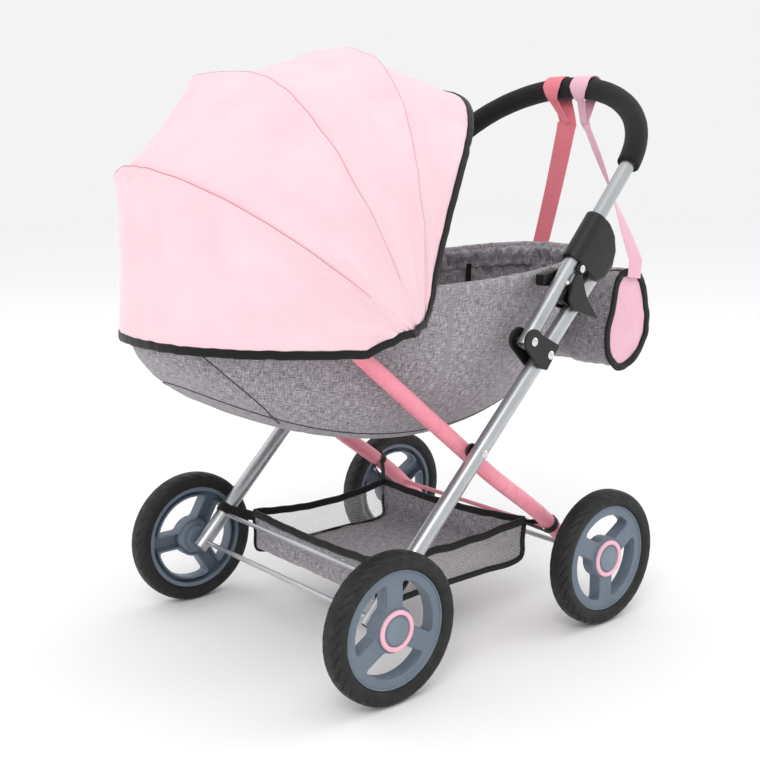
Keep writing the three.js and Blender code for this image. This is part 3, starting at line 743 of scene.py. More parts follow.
def make_rods():
    for name, body, slot, finish in (("front_axle", "leg_frame", "silver_tube", SILVER),
                                     ("rear_axle", "rear_frame", "silver_tube", SILVER),
                                     ("front_cross_rod", "leg_frame", "silver_tube", SILVER),
                                     ("rear_cross_rod", "rear_frame", "pink_paint", PINK_PAINT)):
        low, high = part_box(name)
        radius = (high.z - low.z) / 2 / MM
        rod = rod_x(f"{name}_bar", low.x / MM, high.x / MM, (low + high) / 2, radius, finish)
        piece(rod, body, slot, name)
    for side_name, side in SIDES:
        low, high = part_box(f"axle_sleeve_{side_name}")
        sleeve = rod_x(f"axle_sleeve_{side_name}_tube", low.x / MM, high.x / MM, (low + high) / 2,
                       SLEEVE_RADIUS, BLACK, 0.8)
        piece(sleeve, "rear_frame", "black_plastic", f"axle_sleeve_{side_name}")


def leg_point(x, y):
    return at(x, y, LEG_BASE_Z + LEG_SLOPE * y)


def make_tubes():
    for side_name, side in SIDES:
        line = straight(leg_point(side * LEG_X, LEG_START), leg_point(side * LEG_X, LEG_END), 40)
        leg = open_tube(f"leg_{side_name}", line, LEG_RADIUS * MM, SILVER, first_side=LEFTWARD)
        piece(leg, "leg_frame", "silver_tube", f"leg_tube_{side_name}")
        knots = [at(side * REAR_TUBE_X, y, z) for y, z in REAR_ROUTE]
        route = through(knots, 14)
        along = distances(route)
        total = along[-1]

        def flattened(i, along=along, total=total):
            from_end = min(along[i], total - along[i]) / (FLAT_LENGTH * MM)
            share = clamp((from_end - 0.35) / 0.65)
            share = eased(share)
            return 0.5 + 0.5 * share, 1.16 - 0.16 * share

        tube = open_tube(f"rear_leg_{side_name}", route, REAR_TUBE_RADIUS * MM, PINK_PAINT,
                         squash_at=flattened, first_side=LEFTWARD)
        piece(tube, "rear_frame", "pink_paint", f"rear_tube_{side_name}")
        crossing = at(0, *SCISSOR)
        shaft = rod_x(f"scissor_{side_name}", *(side * x for x in SCISSOR_PIN), crossing, 3, RIVET)
        spacer = rod_x(f"scissor_spacer_{side_name}", *(side * x for x in SPACER_FACES), crossing,
                       8, BLACK, 0.8)
        piece(spacer, "leg_frame", "black_plastic", f"scissor_rivet_{side_name}")
        piece(shaft, "leg_frame", "silver_tube")
        rivet(f"scissor_head_{side_name}", crossing, side * 160.2, side, "leg_frame")
        for name, place, x in (("axle_nut", (0, WHEEL_RADIUS), LEG_X), ("cross_nut", FRONT_CROSS, LEG_X)):
            rivet(f"{name}_{side_name}", at(0, *place), side * (x + LEG_RADIUS - 0.2), side, "leg_frame",
                  radius=NUT_RADIUS)
        rivet(f"rear_cross_nut_{side_name}", at(0, *REAR_CROSS), side * 138.6, side, "rear_frame",
              radius=NUT_RADIUS)


make_rods()
make_tubes()

# ---- handle: tube, foam grip, lock collars and levers ----

HANDLE_DATUM, HANDLE_ANGLE = (287, 414.6), math.radians(48.7)
HANDLE_RADIUS, HANDLE_HALF_SPAN = 8, 152
ARCH_START, ARCH_RISE, GRIP_START, GRIP_RADIUS = 106, 120, 110, 12.5
GRIP_END = ((8.2, 4.0), (8.4, 0.4), (9.4, -0.2), (11.7, 0.1), (12.4, 1.2))
GRIP_RIPPLE = 0.18
TUBE_STOP = ((-64, 7), (-47, 7), (-50, 21), (-62, 21))
COLLAR_TAB = ((-30, 1), (-12, 1), (-12, 16), (-28, 13))


def handle_point(x, along, away=0.0):
    """A point beside the handle tube: along it, and away from it to the rear and down."""
    c, s = math.cos(HANDLE_ANGLE), math.sin(HANDLE_ANGLE)
    return at(x, HANDLE_DATUM[0] + along * c + away * s, HANDLE_DATUM[1] + along * s - away * c)


def side_plane(along, away):
    """The same as handle_point, as a [y, z] pair in millimetres."""
    c, s = math.cos(HANDLE_ANGLE), math.sin(HANDLE_ANGLE)
    return HANDLE_DATUM[0] + along * c + away * s, HANDLE_DATUM[1] + along * s - away * c


def arch_point(angle):
    return handle_point(HANDLE_HALF_SPAN * math.cos(angle), ARCH_START + ARCH_RISE * math.sin(angle))


def make_handle():
    foot = -(HANDLE_DATUM[0] - HINGE[0]) / math.cos(HANDLE_ANGLE) - 6
    rise = straight(handle_point(HANDLE_HALF_SPAN, foot), handle_point(HANDLE_HALF_SPAN, ARCH_START), 24)
    arch = [arch_point(math.pi * i / 60) for i in range(1, 60)]
    fall = straight(handle_point(-HANDLE_HALF_SPAN, ARCH_START), handle_point(-HANDLE_HALF_SPAN, foot), 24)
    tube = open_tube("handle_bar", rise + arch + fall, HANDLE_RADIUS * MM, SILVER)
    piece(tube, "handle", "silver_tube", "handle_tube")
    first = math.asin((GRIP_START - ARCH_START) / ARCH_RISE)
    line = [arch_point(first + (math.pi - 2 * first) * i / 90) for i in range(91)]
    frames = path_frames(line)
    rings = []
    last = len(line) - 1
    stations = [(0, radius, shift) for radius, shift in GRIP_END]
    stations += [(i, GRIP_RADIUS + GRIP_RIPPLE * ripple(i * 0.31, 2.0, 0.0), 0) for i in range(1, last)]
    stations += [(last, radius, -shift) for radius, shift in reversed(GRIP_END)]
    for i, radius, shift in stations:
        forward, side = frames[i]
        centre = line[i] + forward * shift * MM
        rings.append(ring_at(centre, side, forward.cross(side), radius * MM, radius * MM, 40))
    grip = skin("foam_grip", rings, FOAM, caps=(False, False), smooth_angle=70)
    piece(grip, "handle", "foam", "handle_grip")
    for side_name, side in SIDES:
        stop = plate(f"tube_stop_{side_name}", [rounded([side_plane(*corner) for corner in TUBE_STOP], 2.5)],
                     side * LEG_X - 6.5, side * LEG_X + 6.5, BLACK, 1.2)
        piece(stop, "handle", "black_plastic")
        rivet(f"stop_rivet_{side_name}", handle_point(0, -45, 3), side * 159.4, side, "handle", radius=2.6)


COLLAR_REAR = [(-20, 35), (-17, 40), (-8, 46.5), (8, 47.8), (22, 42), (33, 30), (37.8, 15)]
COLLAR_HALF_WIDTH, COLLAR_CORNER, TONGUE_BULGE = 12.2, 8.5, 0.9


def collar_reach(along):
    """How far the collar reaches away from the handle tube at this place along it."""
    for (a0, b0), (a1, b1) in zip(COLLAR_REAR, COLLAR_REAR[1:]):
        if along <= a1:
            t = max(0.0, (along - a0) / (a1 - a0))
            t = eased(t) * 0.35 + t * 0.65
            return b0 + (b1 - b0) * t
    return COLLAR_REAR[-1][1]


def collar_section(side, along, shrink):
    """The collar's outline across the handle tube: round in front, a thick rounded tongue behind."""
    half = COLLAR_HALF_WIDTH - shrink
    reach = collar_reach(along) - shrink
    corner = min(COLLAR_CORNER, half - 1)
    ring = []
    for k in range(17):
        angle = math.pi / 2 + math.pi * k / 16
        ring.append((half * math.sin(angle), half * math.cos(angle)))
    for sign, turns in ((-1, range(9)), (1, reversed(range(9)))):
        for k in turns:
            angle = math.pi / 2 * k / 8
            ring.append((sign * (half + TONGUE_BULGE - corner + corner * math.cos(angle)),
                         reach - corner + corner * math.sin(angle)))
    return [handle_point(side * LEG_X + x, along, away) for x, away in ring]


def make_collar(side_name, side):
    stations = [(-20, 1.6), (-19.6, 0.7), (-18.6, 0)]
    stations += [(-18.6 + 55.4 * i / 26, 0) for i in range(1, 26)]
    stations += [(36.8, 0), (37.6, 0.6), (38, 1.6)]
    rings = [collar_section(side, along, shrink) for along, shrink in stations]
    shell = skin(f"collar_{side_name}", rings, BLACK, smooth_angle=38)
    tab = plate(f"tab_{side_name}", [rounded([side_plane(*corner) for corner in COLLAR_TAB], 5.5)],
                side * (LEG_X + 8.6), side * (LEG_X + 11.8), BLACK, 0.8)
    collar = join(f"collar_{side_name}", shell, tab)
    piece(collar, f"collar_{side_name}", "black_plastic", f"lock_collar_{side_name}")
    rivet(f"collar_rivet_{side_name}", handle_point(0, -23.5, 7), side * 164, side, f"collar_{side_name}",
          radius=4)


LEVER = [(262, 379), (268, 388), (277, 386), (280, 374), (285, 361), (304, 337), (281, 344), (264, 351),
         (256, 361)]
LEVER_ROUND = [4, 6, 4, 14, 26, 1.2, 20, 6, 4]
LEVER_BRIDGE = [(261, 376), (272, 378), (280, 371), (278, 364), (262, 362)]


def make_lever(side_name, side):
    """Two side plates with a straight front, a hollow rear edge and a thin claw, joined by a bridge."""
    cheek, bar = rounded(LEVER, LEVER_ROUND, 6), rounded(LEVER_BRIDGE, 2)
    outer = plate(f"lever_{side_name}", [cheek], side * (LEG_X + 9.4), side * (LEG_X + 13.2), BLACK, 1.1)
    inner = plate(f"lever_inner_{side_name}", [cheek], side * (LEG_X - 13), side * (LEG_X - 9.4), BLACK, 1.1)
    bridge = plate(f"lever_bridge_{side_name}", [bar], side * (LEG_X - 10), side * (LEG_X + 10), BLACK, 1)
    lever = join(f"lever_{side_name}", outer, inner, bridge)
    piece(lever, f"lever_{side_name}", "black_plastic", f"finger_lever_{side_name}")


make_handle()
for collar_name, collar_side in SIDES:
    make_collar(collar_name, collar_side)
    make_lever(collar_name, collar_side)

# ---- hinge brackets and the carrycot's hard fittings ----


BRACKET_HEAD = 13
BRACKET_FOOT = [(-10.6, -7.5), (10, -29), (20, -32), (39, -8), (11, 6.5)]
BRACKET_PLATES = ((8.9, 12.2), (-12.2, -8.9))


def bracket_outline():
    """A round head about the hinge, running into a foot on the leg tube."""
    points = []
    for degrees in range(30, 216, 12):
        angle = math.radians(degrees)
        points.append((HINGE[0] + BRACKET_HEAD * math.cos(angle), HINGE[1] + BRACKET_HEAD * math.sin(angle)))
    foot = rounded([(HINGE[0] + y, HINGE[1] + z) for y, z in BRACKET_FOOT], 2.5)
    return points + foot[6:24]


def make_bracket(side_name, side):
    middle = side * LEG_X
    plates = [plate(f"bracket_{side_name}{k}", [bracket_outline()], middle + a, middle + b, BLACK, 0.9)
              for k, (a, b) in enumerate(BRACKET_PLATES)]
    spacer = rod_x(f"bracket_spacer_{side_name}", middle - 9.4, middle + 9.4,
                   at(0, HINGE[0] + 16, HINGE[1] - 5), 2.4, BLACK)
    bracket = join(f"bracket_{side_name}", *plates, spacer)
    piece(bracket, "leg_frame", "black_plastic", f"hinge_bracket_{side_name}")
    for name, place in (("hinge_rivet", HINGE), ("leg_rivet", LEG_RIVET)):
        pin = rod_x(f"{name}_{side_name}_pin", middle - 12.6, middle + 12.6, at(0, *place), 3, RIVET)
        heads = [rod_x(f"{name}_{side_name}_{end}", middle + sign * 12.1, middle + sign * 13.2, at(0, *place),
                       4.6, RIVET, 0.3, 1.5) for end, sign in (("a", 1), ("b", -1))]
        pin = join(f"{name}_{side_name}_pin", pin, *heads)
        piece(pin, "leg_frame", "silver_tube", f"{name}_{side_name}")


CONNECTOR = [(241, 375), (258, 375), (268, 378), (270, 386), (265, 392), (250, 389), (241, 387)]
FRONT_BRACKET = [(-36, 350), (-30, 345), (-18, 345), (-12, 352), (-8, 374), (-44, 374)]

for bracket_name, bracket_side in SIDES:
    make_bracket(bracket_name, bracket_side)
    connector = plate(f"connector_{bracket_name}", [rounded(CONNECTOR, 3)], bracket_side * 130.5,
                      bracket_side * 143.4, BLACK, 1.4)
    piece(connector, "carrycot", "black_plastic", f"rim_connector_{bracket_name}")
    front_bracket = plate(f"front_bracket_{bracket_name}", [rounded(FRONT_BRACKET, 3)], bracket_side * 117.6,
                          bracket_side * 120.4, BLACK, 0.6)
    piece(front_bracket, "carrycot", "black_plastic", f"rim_bracket_{bracket_name}")


# ---- carrycot ----

RIM_CENTRE_Y, RIM_HALF_X, RIM_HALF_Y, OVAL_POWER = 133, 125, 279, 2.4
RIM_LOW, BELLY_LOW, BELLY_CURVE = 380, 217, 0.0011
SHELL_TOP_DROP = 5
SHELL_SECTIONS = [(0, 124, -147, 413), (0.3, 122.5, -151, 411), (0.5, 117, -151, 405), (0.7, 107, -147, 392),
                  (0.82, 97, -138, 379), (0.92, 83, -125, 363), (0.98, 66, -98, 344), (1, 45, -57, 320)]
HEM_ROLL, HEM_DEPTH = 5.4, 22
LINING_GAP, LINING_TOP, FLOOR_SHARE = 4.5, 0.2, 0.86
OUTSIDE_POINTS, ROLL_POINTS, HEM_POINTS, LINING_POINTS = 46, 11, 14, 24
CARRYCOT_COLUMNS = 520
FRONT_SEAM = [(0, -72), (0.5, -64), (0.88, -42), (1, -38)]
BOTTOM_SEAM_SHARE = 0.93
STRAP_ANGLES = (130.5, 49.5)


def rim_height(y):
    return RIM_LOW + 17 * max(0.0, (y - 105) / 310) ** 2 + 5 * max(0.0, (105 - y) / 255) ** 2


def belly_height(y):
    return BELLY_LOW + BELLY_CURVE * (y - 140) ** 2


def oval(angle, half_x, centre_y, half_y):
    c, s = math.cos(angle), math.sin(angle)
    return (half_x * signed_power(c, 2 / OVAL_POWER),
            centre_y + half_y * signed_power(s, 2 / OVAL_POWER))


def outward(angle):
    """The rim's outward direction, level with the ground."""
    x0, y0 = oval(angle - 0.01, RIM_HALF_X, 0, RIM_HALF_Y)
    x1, y1 = oval(angle + 0.01, RIM_HALF_X, 0, RIM_HALF_Y)
    return Vector((y1 - y0, x0 - x1, 0)).normalized()


def lookup(table, key):
    """A value read from a table of (key, value) pairs."""
    for (k0, v0), (k1, v1) in zip(table, table[1:]):
        if key <= k1:
            return v0 + (v1 - v0) * max(0.0, key - k0) / (k1 - k0)
    return table[-1][1]


SECTION_LINE = through([Vector(section) for section in SHELL_SECTIONS], 10)


def shell_point(angle, share, inset=0.0):
    """A point on the fabric body: share runs from the rim to the bottom, inset goes inward."""
    index = min(len(SECTION_LINE) - 2, sum(1 for s in SECTION_LINE if s[0] <= share) - 1)
    a, b = SECTION_LINE[index], SECTION_LINE[index + 1]
    _, half_x, front, rear = a.lerp(b, clamp((share - a[0]) / max(b[0] - a[0], 1e-6)))
    x, y = oval(angle, half_x - inset, (front + rear) / 2, (rear - front) / 2 - inset)
    top = rim_height(y) - SHELL_TOP_DROP
    return Vector((x, y, top + (belly_height(y) + inset * 0.8 - top) * share))


def front_wrinkle(angle, share):
    """How far slack folds sink inward, most at the two ends of the carrycot."""
    front = max(0.0, -math.sin(angle)) ** 4
    rear = max(0.0, math.sin(angle)) ** 6
    fade = min(1.0, share / 0.08) * max(0.0, 1 - share / 0.85)
    fold = 0.5 + 0.5 * ripple(angle * 7.5, share * 2.3, 4.0)
    crease = abs(ripple(angle * 11 + share * 3, share * 5, 9.0))
    soft = 0.5 + 0.5 * ripple(angle * 3.1, share * 4.5, 2.0)
    return fade * ((4.2 * front + 2.6 * rear) * fold + 1.6 * (front + rear) * crease) + 0.9 * soft * fade


def seam_groove(angle, share):
    """How far the fabric sinks along its two front seams and the seam round its bottom."""
    degrees = math.degrees(math.atan2(math.sin(angle), abs(math.cos(angle))))
    side = abs(degrees - lookup(FRONT_SEAM, share)) * 2.6
    bottom = abs(share - BOTTOM_SEAM_SHARE) * 120
    return hump(side, 2.4) + 0.8 * hump(bottom, 2)


def carrycot_profile(angle):
    """One slice of the fabric, from the bottom up the outside, over the rim and down the lining."""
    normal = outward(angle)
    rim_x, rim_y = oval(angle, RIM_HALF_X, RIM_CENTRE_Y, RIM_HALF_Y)
    rim = Vector((rim_x, rim_y, rim_height(rim_y)))
    points = []
    for i in range(OUTSIDE_POINTS):
        share = 1 - i / (OUTSIDE_POINTS - 1) * 0.99
        point = shell_point(angle, share, front_wrinkle(angle, share) + seam_groove(angle, share))
        depth = rim.z - point.z
        swell = max(0.0, 1 - depth / HEM_DEPTH)
        swell = eased(swell)
        outer = rim + normal * (HEM_ROLL - 0.6 * (1 - swell)) - UP * depth
        point = point.lerp(outer, swell * 0.85)
        stitch = hump(depth - HEM_DEPTH, 1.3)
        points.append(point - normal * stitch * 0.9)
    for i in range(ROLL_POINTS):
        phi = math.radians(-4 + 188 * i / (ROLL_POINTS - 1))
        radius = HEM_ROLL + 0.9 * ripple(angle * 24, phi * 0.8, 6.0) * min(1.0, i / 5)
        points.append(rim + (normal * math.cos(phi) + UP * math.sin(phi)) * radius)
    strength = 0.8 + 0.45 * math.sin(angle) + 0.3 * ripple(angle * 2, 1, 1)
    for i in range(1, HEM_POINTS + 1):
        drop = HEM_DEPTH * i / HEM_POINTS
        gather = min(1.0, (drop + 2) / 8) * strength
        fold = ripple(angle * 19, drop * 0.03, 7.0) + 0.5 * ripple(angle * 44, drop * 0.05, 3.0)
        cinch = 2.4 * math.sin(math.pi * min(1.0, drop / 14))
        points.append(rim - normal * (HEM_ROLL + 2.6 + cinch - 7.0 * gather * fold)
                      - UP * (drop + 1.6 * gather * ripple(angle * 24, 5, 5)))
    tuck = points[-1]
    lining = shell_point(angle, LINING_TOP, LINING_GAP)
    points.append(tuck + normal * 1.4 - UP * 0.6)
    points.append(tuck.lerp(lining, 0.5) + UP * 2)
    for i in range(LINING_POINTS):
        share = LINING_TOP + (FLOOR_SHARE - LINING_TOP) * i / (LINING_POINTS - 1)
        slack = 1.3 * abs(ripple(angle * 9, share * 5, 12.0))
        points.append(shell_point(angle, share, LINING_GAP + slack))
    edge = points[-1]
    centre = Vector((0, RIM_CENTRE_Y, edge.z))
    for inward in (0.25, 0.6, 0.9):
        points.append(edge.lerp(centre, inward))
    return points


def make_carrycot():
    """The shell with its hem and lining, the seam threads on it and the two straps inside."""
    columns = CARRYCOT_COLUMNS
    slices = [carrycot_profile(TAU * j / columns) for j in range(columns)]
    rows = len(slices[0])
    along = [distances(s) for s in slices]
    around = distances([s[OUTSIDE_POINTS - 1] for s in slices])
    points = [at(*slices[j][i]) for i in range(rows) for j in range(columns)]
    uvs = [(around[j] * MM, along[j][i] * MM) for i in range(rows) for j in range(columns)]
    faces = grid_faces(rows, columns, wrap=True)
    faces.append(tuple(reversed(range(columns))))
    faces.append(tuple(range(len(points) - columns, len(points))))
    shell = build("carrycot_fabric", points, faces, GREY_CLOTH, uvs)
    piece(shell, "carrycot", "grey_fabric", "carrycot_shell")
    strands = []
    for side in (1, -1):
        line = []
        for i in range(40):
            share = 0.1 + 0.86 * i / 39
            angle = math.radians(lookup(FRONT_SEAM, share))
            angle = angle if side > 0 else math.pi - angle
            line.append(at(*shell_point(angle, share, front_wrinkle(angle, share) + 0.3)))
        strands.append(cord_of(f"front_seam_{side}", line, 0.6 * MM, THREAD))
    ring = [at(*shell_point(TAU * j / 220, BOTTOM_SEAM_SHARE, 0.3)) for j in range(220)]
    strands.append(cord_of("bottom_seam", ring, 0.55 * MM, THREAD, closed=True))
    seams = join("carrycot_seams", *strands)
    piece(seams, "carrycot", "strap")
    bands = []
    for degrees in STRAP_ANGLES:
        angle = math.radians(degrees)
        line = [at(*shell_point(angle, 0.1 + 0.72 * i / 20, LINING_GAP + 2.6)) for i in range(21)]
        widths = [outward(angle).cross(UP)] * len(line)
        bands.append(tape(f"inner_strap_{degrees}", line, widths, 7 * MM, 1.2 * MM, BINDING))
    straps = piece(join("inner_straps", *bands), "carrycot", "strap")
    return [shell, seams, straps]


PAD_HALF_X, PAD_HALF_Y, PAD_CENTRE_Y, PAD_Z, PAD_CROWN = 80, 128, 154.5, 251, 6.5
PAD_RINGS = ((0.5, False), (0.97, False), (1.0, None), (0.97, True), (0.85, True), (0.6, True), (0.3, True))


def pad_point(u, v, top):
    """A point of the carrycot's base pad, as a rounded rectangle crowned in the middle."""
    x = PAD_HALF_X * signed_power(u, 0.9)
    y = PAD_CENTRE_Y + PAD_HALF_Y * v
    crown = (1 - abs(u) ** 4) * (1 - abs(v) ** 6)
    return at(x, y, PAD_Z + (PAD_CROWN if top else -0.6) * crown)


def inflate(obj, voxel, pressure, cap, frames=14):
    """Blows a closed cloth up a little, so that it crowns and puckers, and applies the result."""
    remesh = obj.modifiers.new("voxels", "REMESH")
    remesh.mode = "VOXEL"
    remesh.voxel_size = voxel
    bpy.context.view_layer.update()
    apply_modifiers(obj)
    before = [v.co.copy() for v in obj.data.vertices]
    cloth = obj.modifiers.new("cloth", "CLOTH")
    cloth.settings.use_pressure = True
    cloth.settings.uniform_pressure_force = pressure
    cloth.settings.effector_weights.gravity = 0
    for number in range(1, frames + 1):
        scene.frame_set(number)
    apply_modifiers(obj)
    scene.frame_set(1)
    for vertex, start in zip(obj.data.vertices, before):
        move = vertex.co - start
        if move.length > cap:
            vertex.co = start + move.normalized() * cap
    smooth = obj.modifiers.new("smooth", "SUBSURF")
    smooth.levels = smooth.render_levels = 1
    bpy.context.view_layer.update()
    apply_modifiers(obj)
    shade_smooth(obj.data)
    return obj


def make_base_pad():
    rings = []
    for scale, top in PAD_RINGS:
        lift = UP * (2 * MM if top is None else 0)
        ring = []
        for angle in (TAU * i / 120 for i in range(120)):
            u, v = (scale * signed_power(f(angle), 0.35) for f in (math.cos, math.sin))
            ring.append(pad_point(u, v, top) + lift)
        rings.append(ring)
    pad = skin("base_pad", rings, SHADED_LINING_CLOTH, smooth_angle=180)
    inflate(pad, voxel=0.004, pressure=1.5, cap=0.003)
    # The pad wears the darker copy of the grey cloth: painted shade.
    pad.data.materials.clear()
    pad.data.materials.append(SHADED_LINING_CLOTH)
    piece(pad, "carrycot", "board", "base_board")
    return pad


carrycot_fabrics = make_carrycot() + [make_base_pad()]

# ---- hood ----

HOOD_HINGE = (77, 327)
HOOD_BOWS = {
    "hem": dict(angle=176.6, width=149.5, radius=227, square=2.3, rise=2.25),
    "front": dict(angle=143, width=149, radius=282, square=1.8, rise=3.1),
    "middle": dict(angle=117, width=142.2, radius=285.4, square=3.3),
    "rear": dict(angle=91, width=137.6, radius=280.8, square=3.2),
    "edge": dict(angle=62.5, width=134, radius=275, square=3.1, scoop=22),
}
HOOD_GORES = (("front", "hem", "front", "carrycot", "hood_front"),
              ("middle", "front", "middle", "hood_front", "hood_middle"),
              ("top", "middle", "rear", "hood_middle", "hood_rear"),
              ("rear", "rear", "edge", "hood_rear", "hood_edge"))
SEAM_NUMBERS = {"front": 0, "middle": 1, "top": 2, "rear": 3}
BOW_RISE_POWER = 2.6
GORE_OFFSET, LAP, SEAM_REACH = 4.2, 3.5, 5
GORE_COLUMNS, GORE_ROWS = 260, 40
HOOD_DEPTH, HOOD_HALF_WIDTH = 280, 150
FOOT_REACH = [(62.5, 40), (73, 33), (90, 26), (129, 28), (155, 38), (168, 52), (176.6, 78)]


def hood_point(bow_a, bow_b, share, theta, offset):
    """A point between two bows: share 0 is bow_a, theta runs over the hood from left to right."""
    s, c = math.sin(theta), math.cos(theta)
    ends = []
    for bow in (bow_a, bow_b):
        x = (bow["width"] + offset) * signed_power(c, 2 / bow["square"])
        rise = (bow["radius"] + offset) * s ** (2 / bow.get("rise", BOW_RISE_POWER))
        scoop = bow.get("scoop", 0) * math.sin(math.pi * s ** (2 / BOW_RISE_POWER))
        a = math.radians(bow["angle"])
        ends.append(Vector((x, HOOD_HINGE[0] + rise * math.cos(a) - scoop * math.sin(a),
                            HOOD_HINGE[1] + rise * math.sin(a) + scoop * math.cos(a))))
    return ends[0].lerp(ends[1], share)


def foot_theta(bow_a, bow_b, share):
    """Where the cloth ends near the hinge, so that its lower edge runs in one curve."""
    ends = [(bow["angle"], bow["radius"], bow.get("rise", BOW_RISE_POWER)) for bow in (bow_a, bow_b)]
    angle, radius, power = (a + (b - a) * share for a, b in zip(*ends))
    return math.asin((lookup(FOOT_REACH, angle) / radius) ** (power / 2))


def gore_relief(name, share, theta, first, last):
    """Puckers along the seams, a pull towards the feet, and a slack middle."""
    over, belly = math.sin(theta), math.sin(math.pi * share)
    arc = theta * 90
    seam = SEAM_NUMBERS[name]
    seed = 1.0 + 4 * seam
    pucker = 0.0
    for number, away, sewn in ((seam, share, not first), (seam + 1, 1 - share, not last)):
        if sewn:
            pucker += 2.6 * hump(away, 0.16) * ripple(arc * 0.085, number * 3.7, 1.0)
    broad = 4.4 * belly * ripple(theta * 2.6, share * 1.8, seed + 2)
    fan = 2.6 * math.exp(-over / 0.35) * belly * ripple(share * 5, theta * 1.5, seed + 4)
    sag = -2.4 * belly * over
    crease = -3.4 * abs(ripple(arc * 0.028 + share * 1.2, share * 3.2, seed + 7)) ** 0.7 * belly
    relief = pucker + broad + fan + sag + crease
    if first and relief < 0:
        relief *= 1 - 0.95 * over ** 4 * (1 - share)
    return relief


def gore_feet(name, bow_a, bow_b):
    """The binding along a gore's two lower edges."""
    bands = []
    for side in (1, -1):
        line, widths = [], []
        for k in range(17):
            share = k / 16
            foot = foot_theta(bow_a, bow_b, share) - 0.002
            ends = (foot, foot + 0.05) if side > 0 else (math.pi - foot, math.pi - foot - 0.05)
            low, above = (at(*hood_point(bow_a, bow_b, share, theta, GORE_OFFSET + 0.3)) for theta in ends)
            line.append(low)
            widths.append((above - low).normalized())
        bands.append(tape(f"hood_{name}_foot_{side}", line, widths, 8 * MM, 2.6 * MM, BINDING))
    return join(f"hood_{name}_foot", *bands)


def make_gore(name, a_name, b_name, body_a, body_b):
    """One gore between two bows, which laps over the next gore along a sewn seam."""
    bow_a, bow_b = HOOD_BOWS[a_name], HOOD_BOWS[b_name]
    first, last = a_name == "hem", b_name == "edge"
    columns, rows = GORE_COLUMNS, GORE_ROWS
    points, uvs = [], []
    span = (bow_a["radius"] + bow_b["radius"]) / 2 * math.radians(bow_a["angle"] - bow_b["angle"])
    for i in range(rows):
        share = i / (rows - 1)
        if not last:
            share *= 1 + LAP / span
        inner = min(share, 1)
        lap = max(0.0, (share - 1) * span / LAP)
        foot = foot_theta(bow_a, bow_b, inner)
        under = -1.1 * hump(share * span, SEAM_REACH) if not first else 0
        seam_rise = 2.3 * clamp((share - 1 + SEAM_REACH / span) / (SEAM_REACH / span)) if not last else 0
        for j in range(columns):
            theta = foot + (math.pi - 2 * foot) * j / (columns - 1)
            free = clamp((math.sin(theta) - 0.1) / 0.15)
            relief = gore_relief(name, inner, theta, first, last)
            point = hood_point(bow_a, bow_b, share, theta, GORE_OFFSET)
            normal = Vector(((point.x / HOOD_HALF_WIDTH) ** 3 * 1.2, (point.y - HOOD_HINGE[0]) / HOOD_DEPTH,
                             (point.z - HOOD_HINGE[1]) / HOOD_DEPTH))
            point += normal.normalized() * (relief + seam_rise * free + (under - 0.3 * lap))
            points.append(at(*point))
            uvs.append((theta * 0.2, share * span * MM))
    gore = build(f"hood_{name}_cloth", points, grid_faces(rows, columns), HOOD_CLOTH, uvs)
    if not last:
        seam = cord_of(f"hood_{name}_seam", points[-columns:][12:-12], 0.55 * MM, SEAM_SHADE)
    thicken(gore, 0.0009)
    shade_smooth(gore.data)
    foot = gore_feet(name, bow_a, bow_b)
    for obj in (gore, foot) if last else (gore, foot, seam):
        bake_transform(obj)
    piece(gore, None, "pink_fabric", f"hood_gore_{name}")
    piece(foot, None, "strap")
    if not last:
        piece(seam, None, "pink_fabric")
    return gore


def hood_edge_binding(name, bow_name, body):
    bow = HOOD_BOWS[bow_name]
    towards = HOOD_BOWS["front" if bow_name == "hem" else "rear"]
    foot = foot_theta(bow, bow, 0) - 0.004
    line, widths = [], []
    for j in range(GORE_COLUMNS):
        theta = foot + (math.pi - 2 * foot) * j / (GORE_COLUMNS - 1)
        wave = 0.9 * ripple(theta * 14, 3.0, 1.0)
        point = hood_point(bow, towards, 0, theta, GORE_OFFSET + 0.2 + 0.5 * ripple(theta * 22, 1.0, 8.0))
        inner = hood_point(bow, towards, 0.12, theta, GORE_OFFSET + 0.2)
        direction = (inner - point).normalized()
        line.append(at(*(point + direction * (1.2 + wave))))
        widths.append(direction)
    binding = tape(name, line, widths, 8.4 * MM, 2.6 * MM, BINDING)
    piece(binding, body, "strap")


def make_bow(bow_name, body):
    bow = HOOD_BOWS[bow_name]
    line = []
    for j in range(121):
        theta = 0.09 + (math.pi - 0.18) * j / 120
        line.append(at(*hood_point(bow, bow, 0, theta, 0)))
    wire = cord_of(f"hood_wire_{bow_name}", line, 1.6 * MM, WIRE)
    piece(wire, body, "steel_wire", f"hood_bow_{bow_name}")


def make_hood():
    for gore in HOOD_GORES:
        obj = make_gore(*gore)
    for bow_name in ("front", "middle", "rear", "edge"):
        make_bow(bow_name, f"hood_{bow_name}")
    hood_edge_binding("hem_binding", "hem", "carrycot")
    hood_edge_binding("opening_binding", "edge", "hood_edge")


make_hood()

# ---- basket ----

BASKET = dict(x=110, front=42, rear=254, low=65, high=112, inset=2)
BASKET_DEPTH = BASKET["rear"] - BASKET["front"]
EDGE_POINTS, SIDE_POINTS = 60, 80
BINDING_WIDTH = 8.5 * MM
FAR_CORNER_PULL = 19


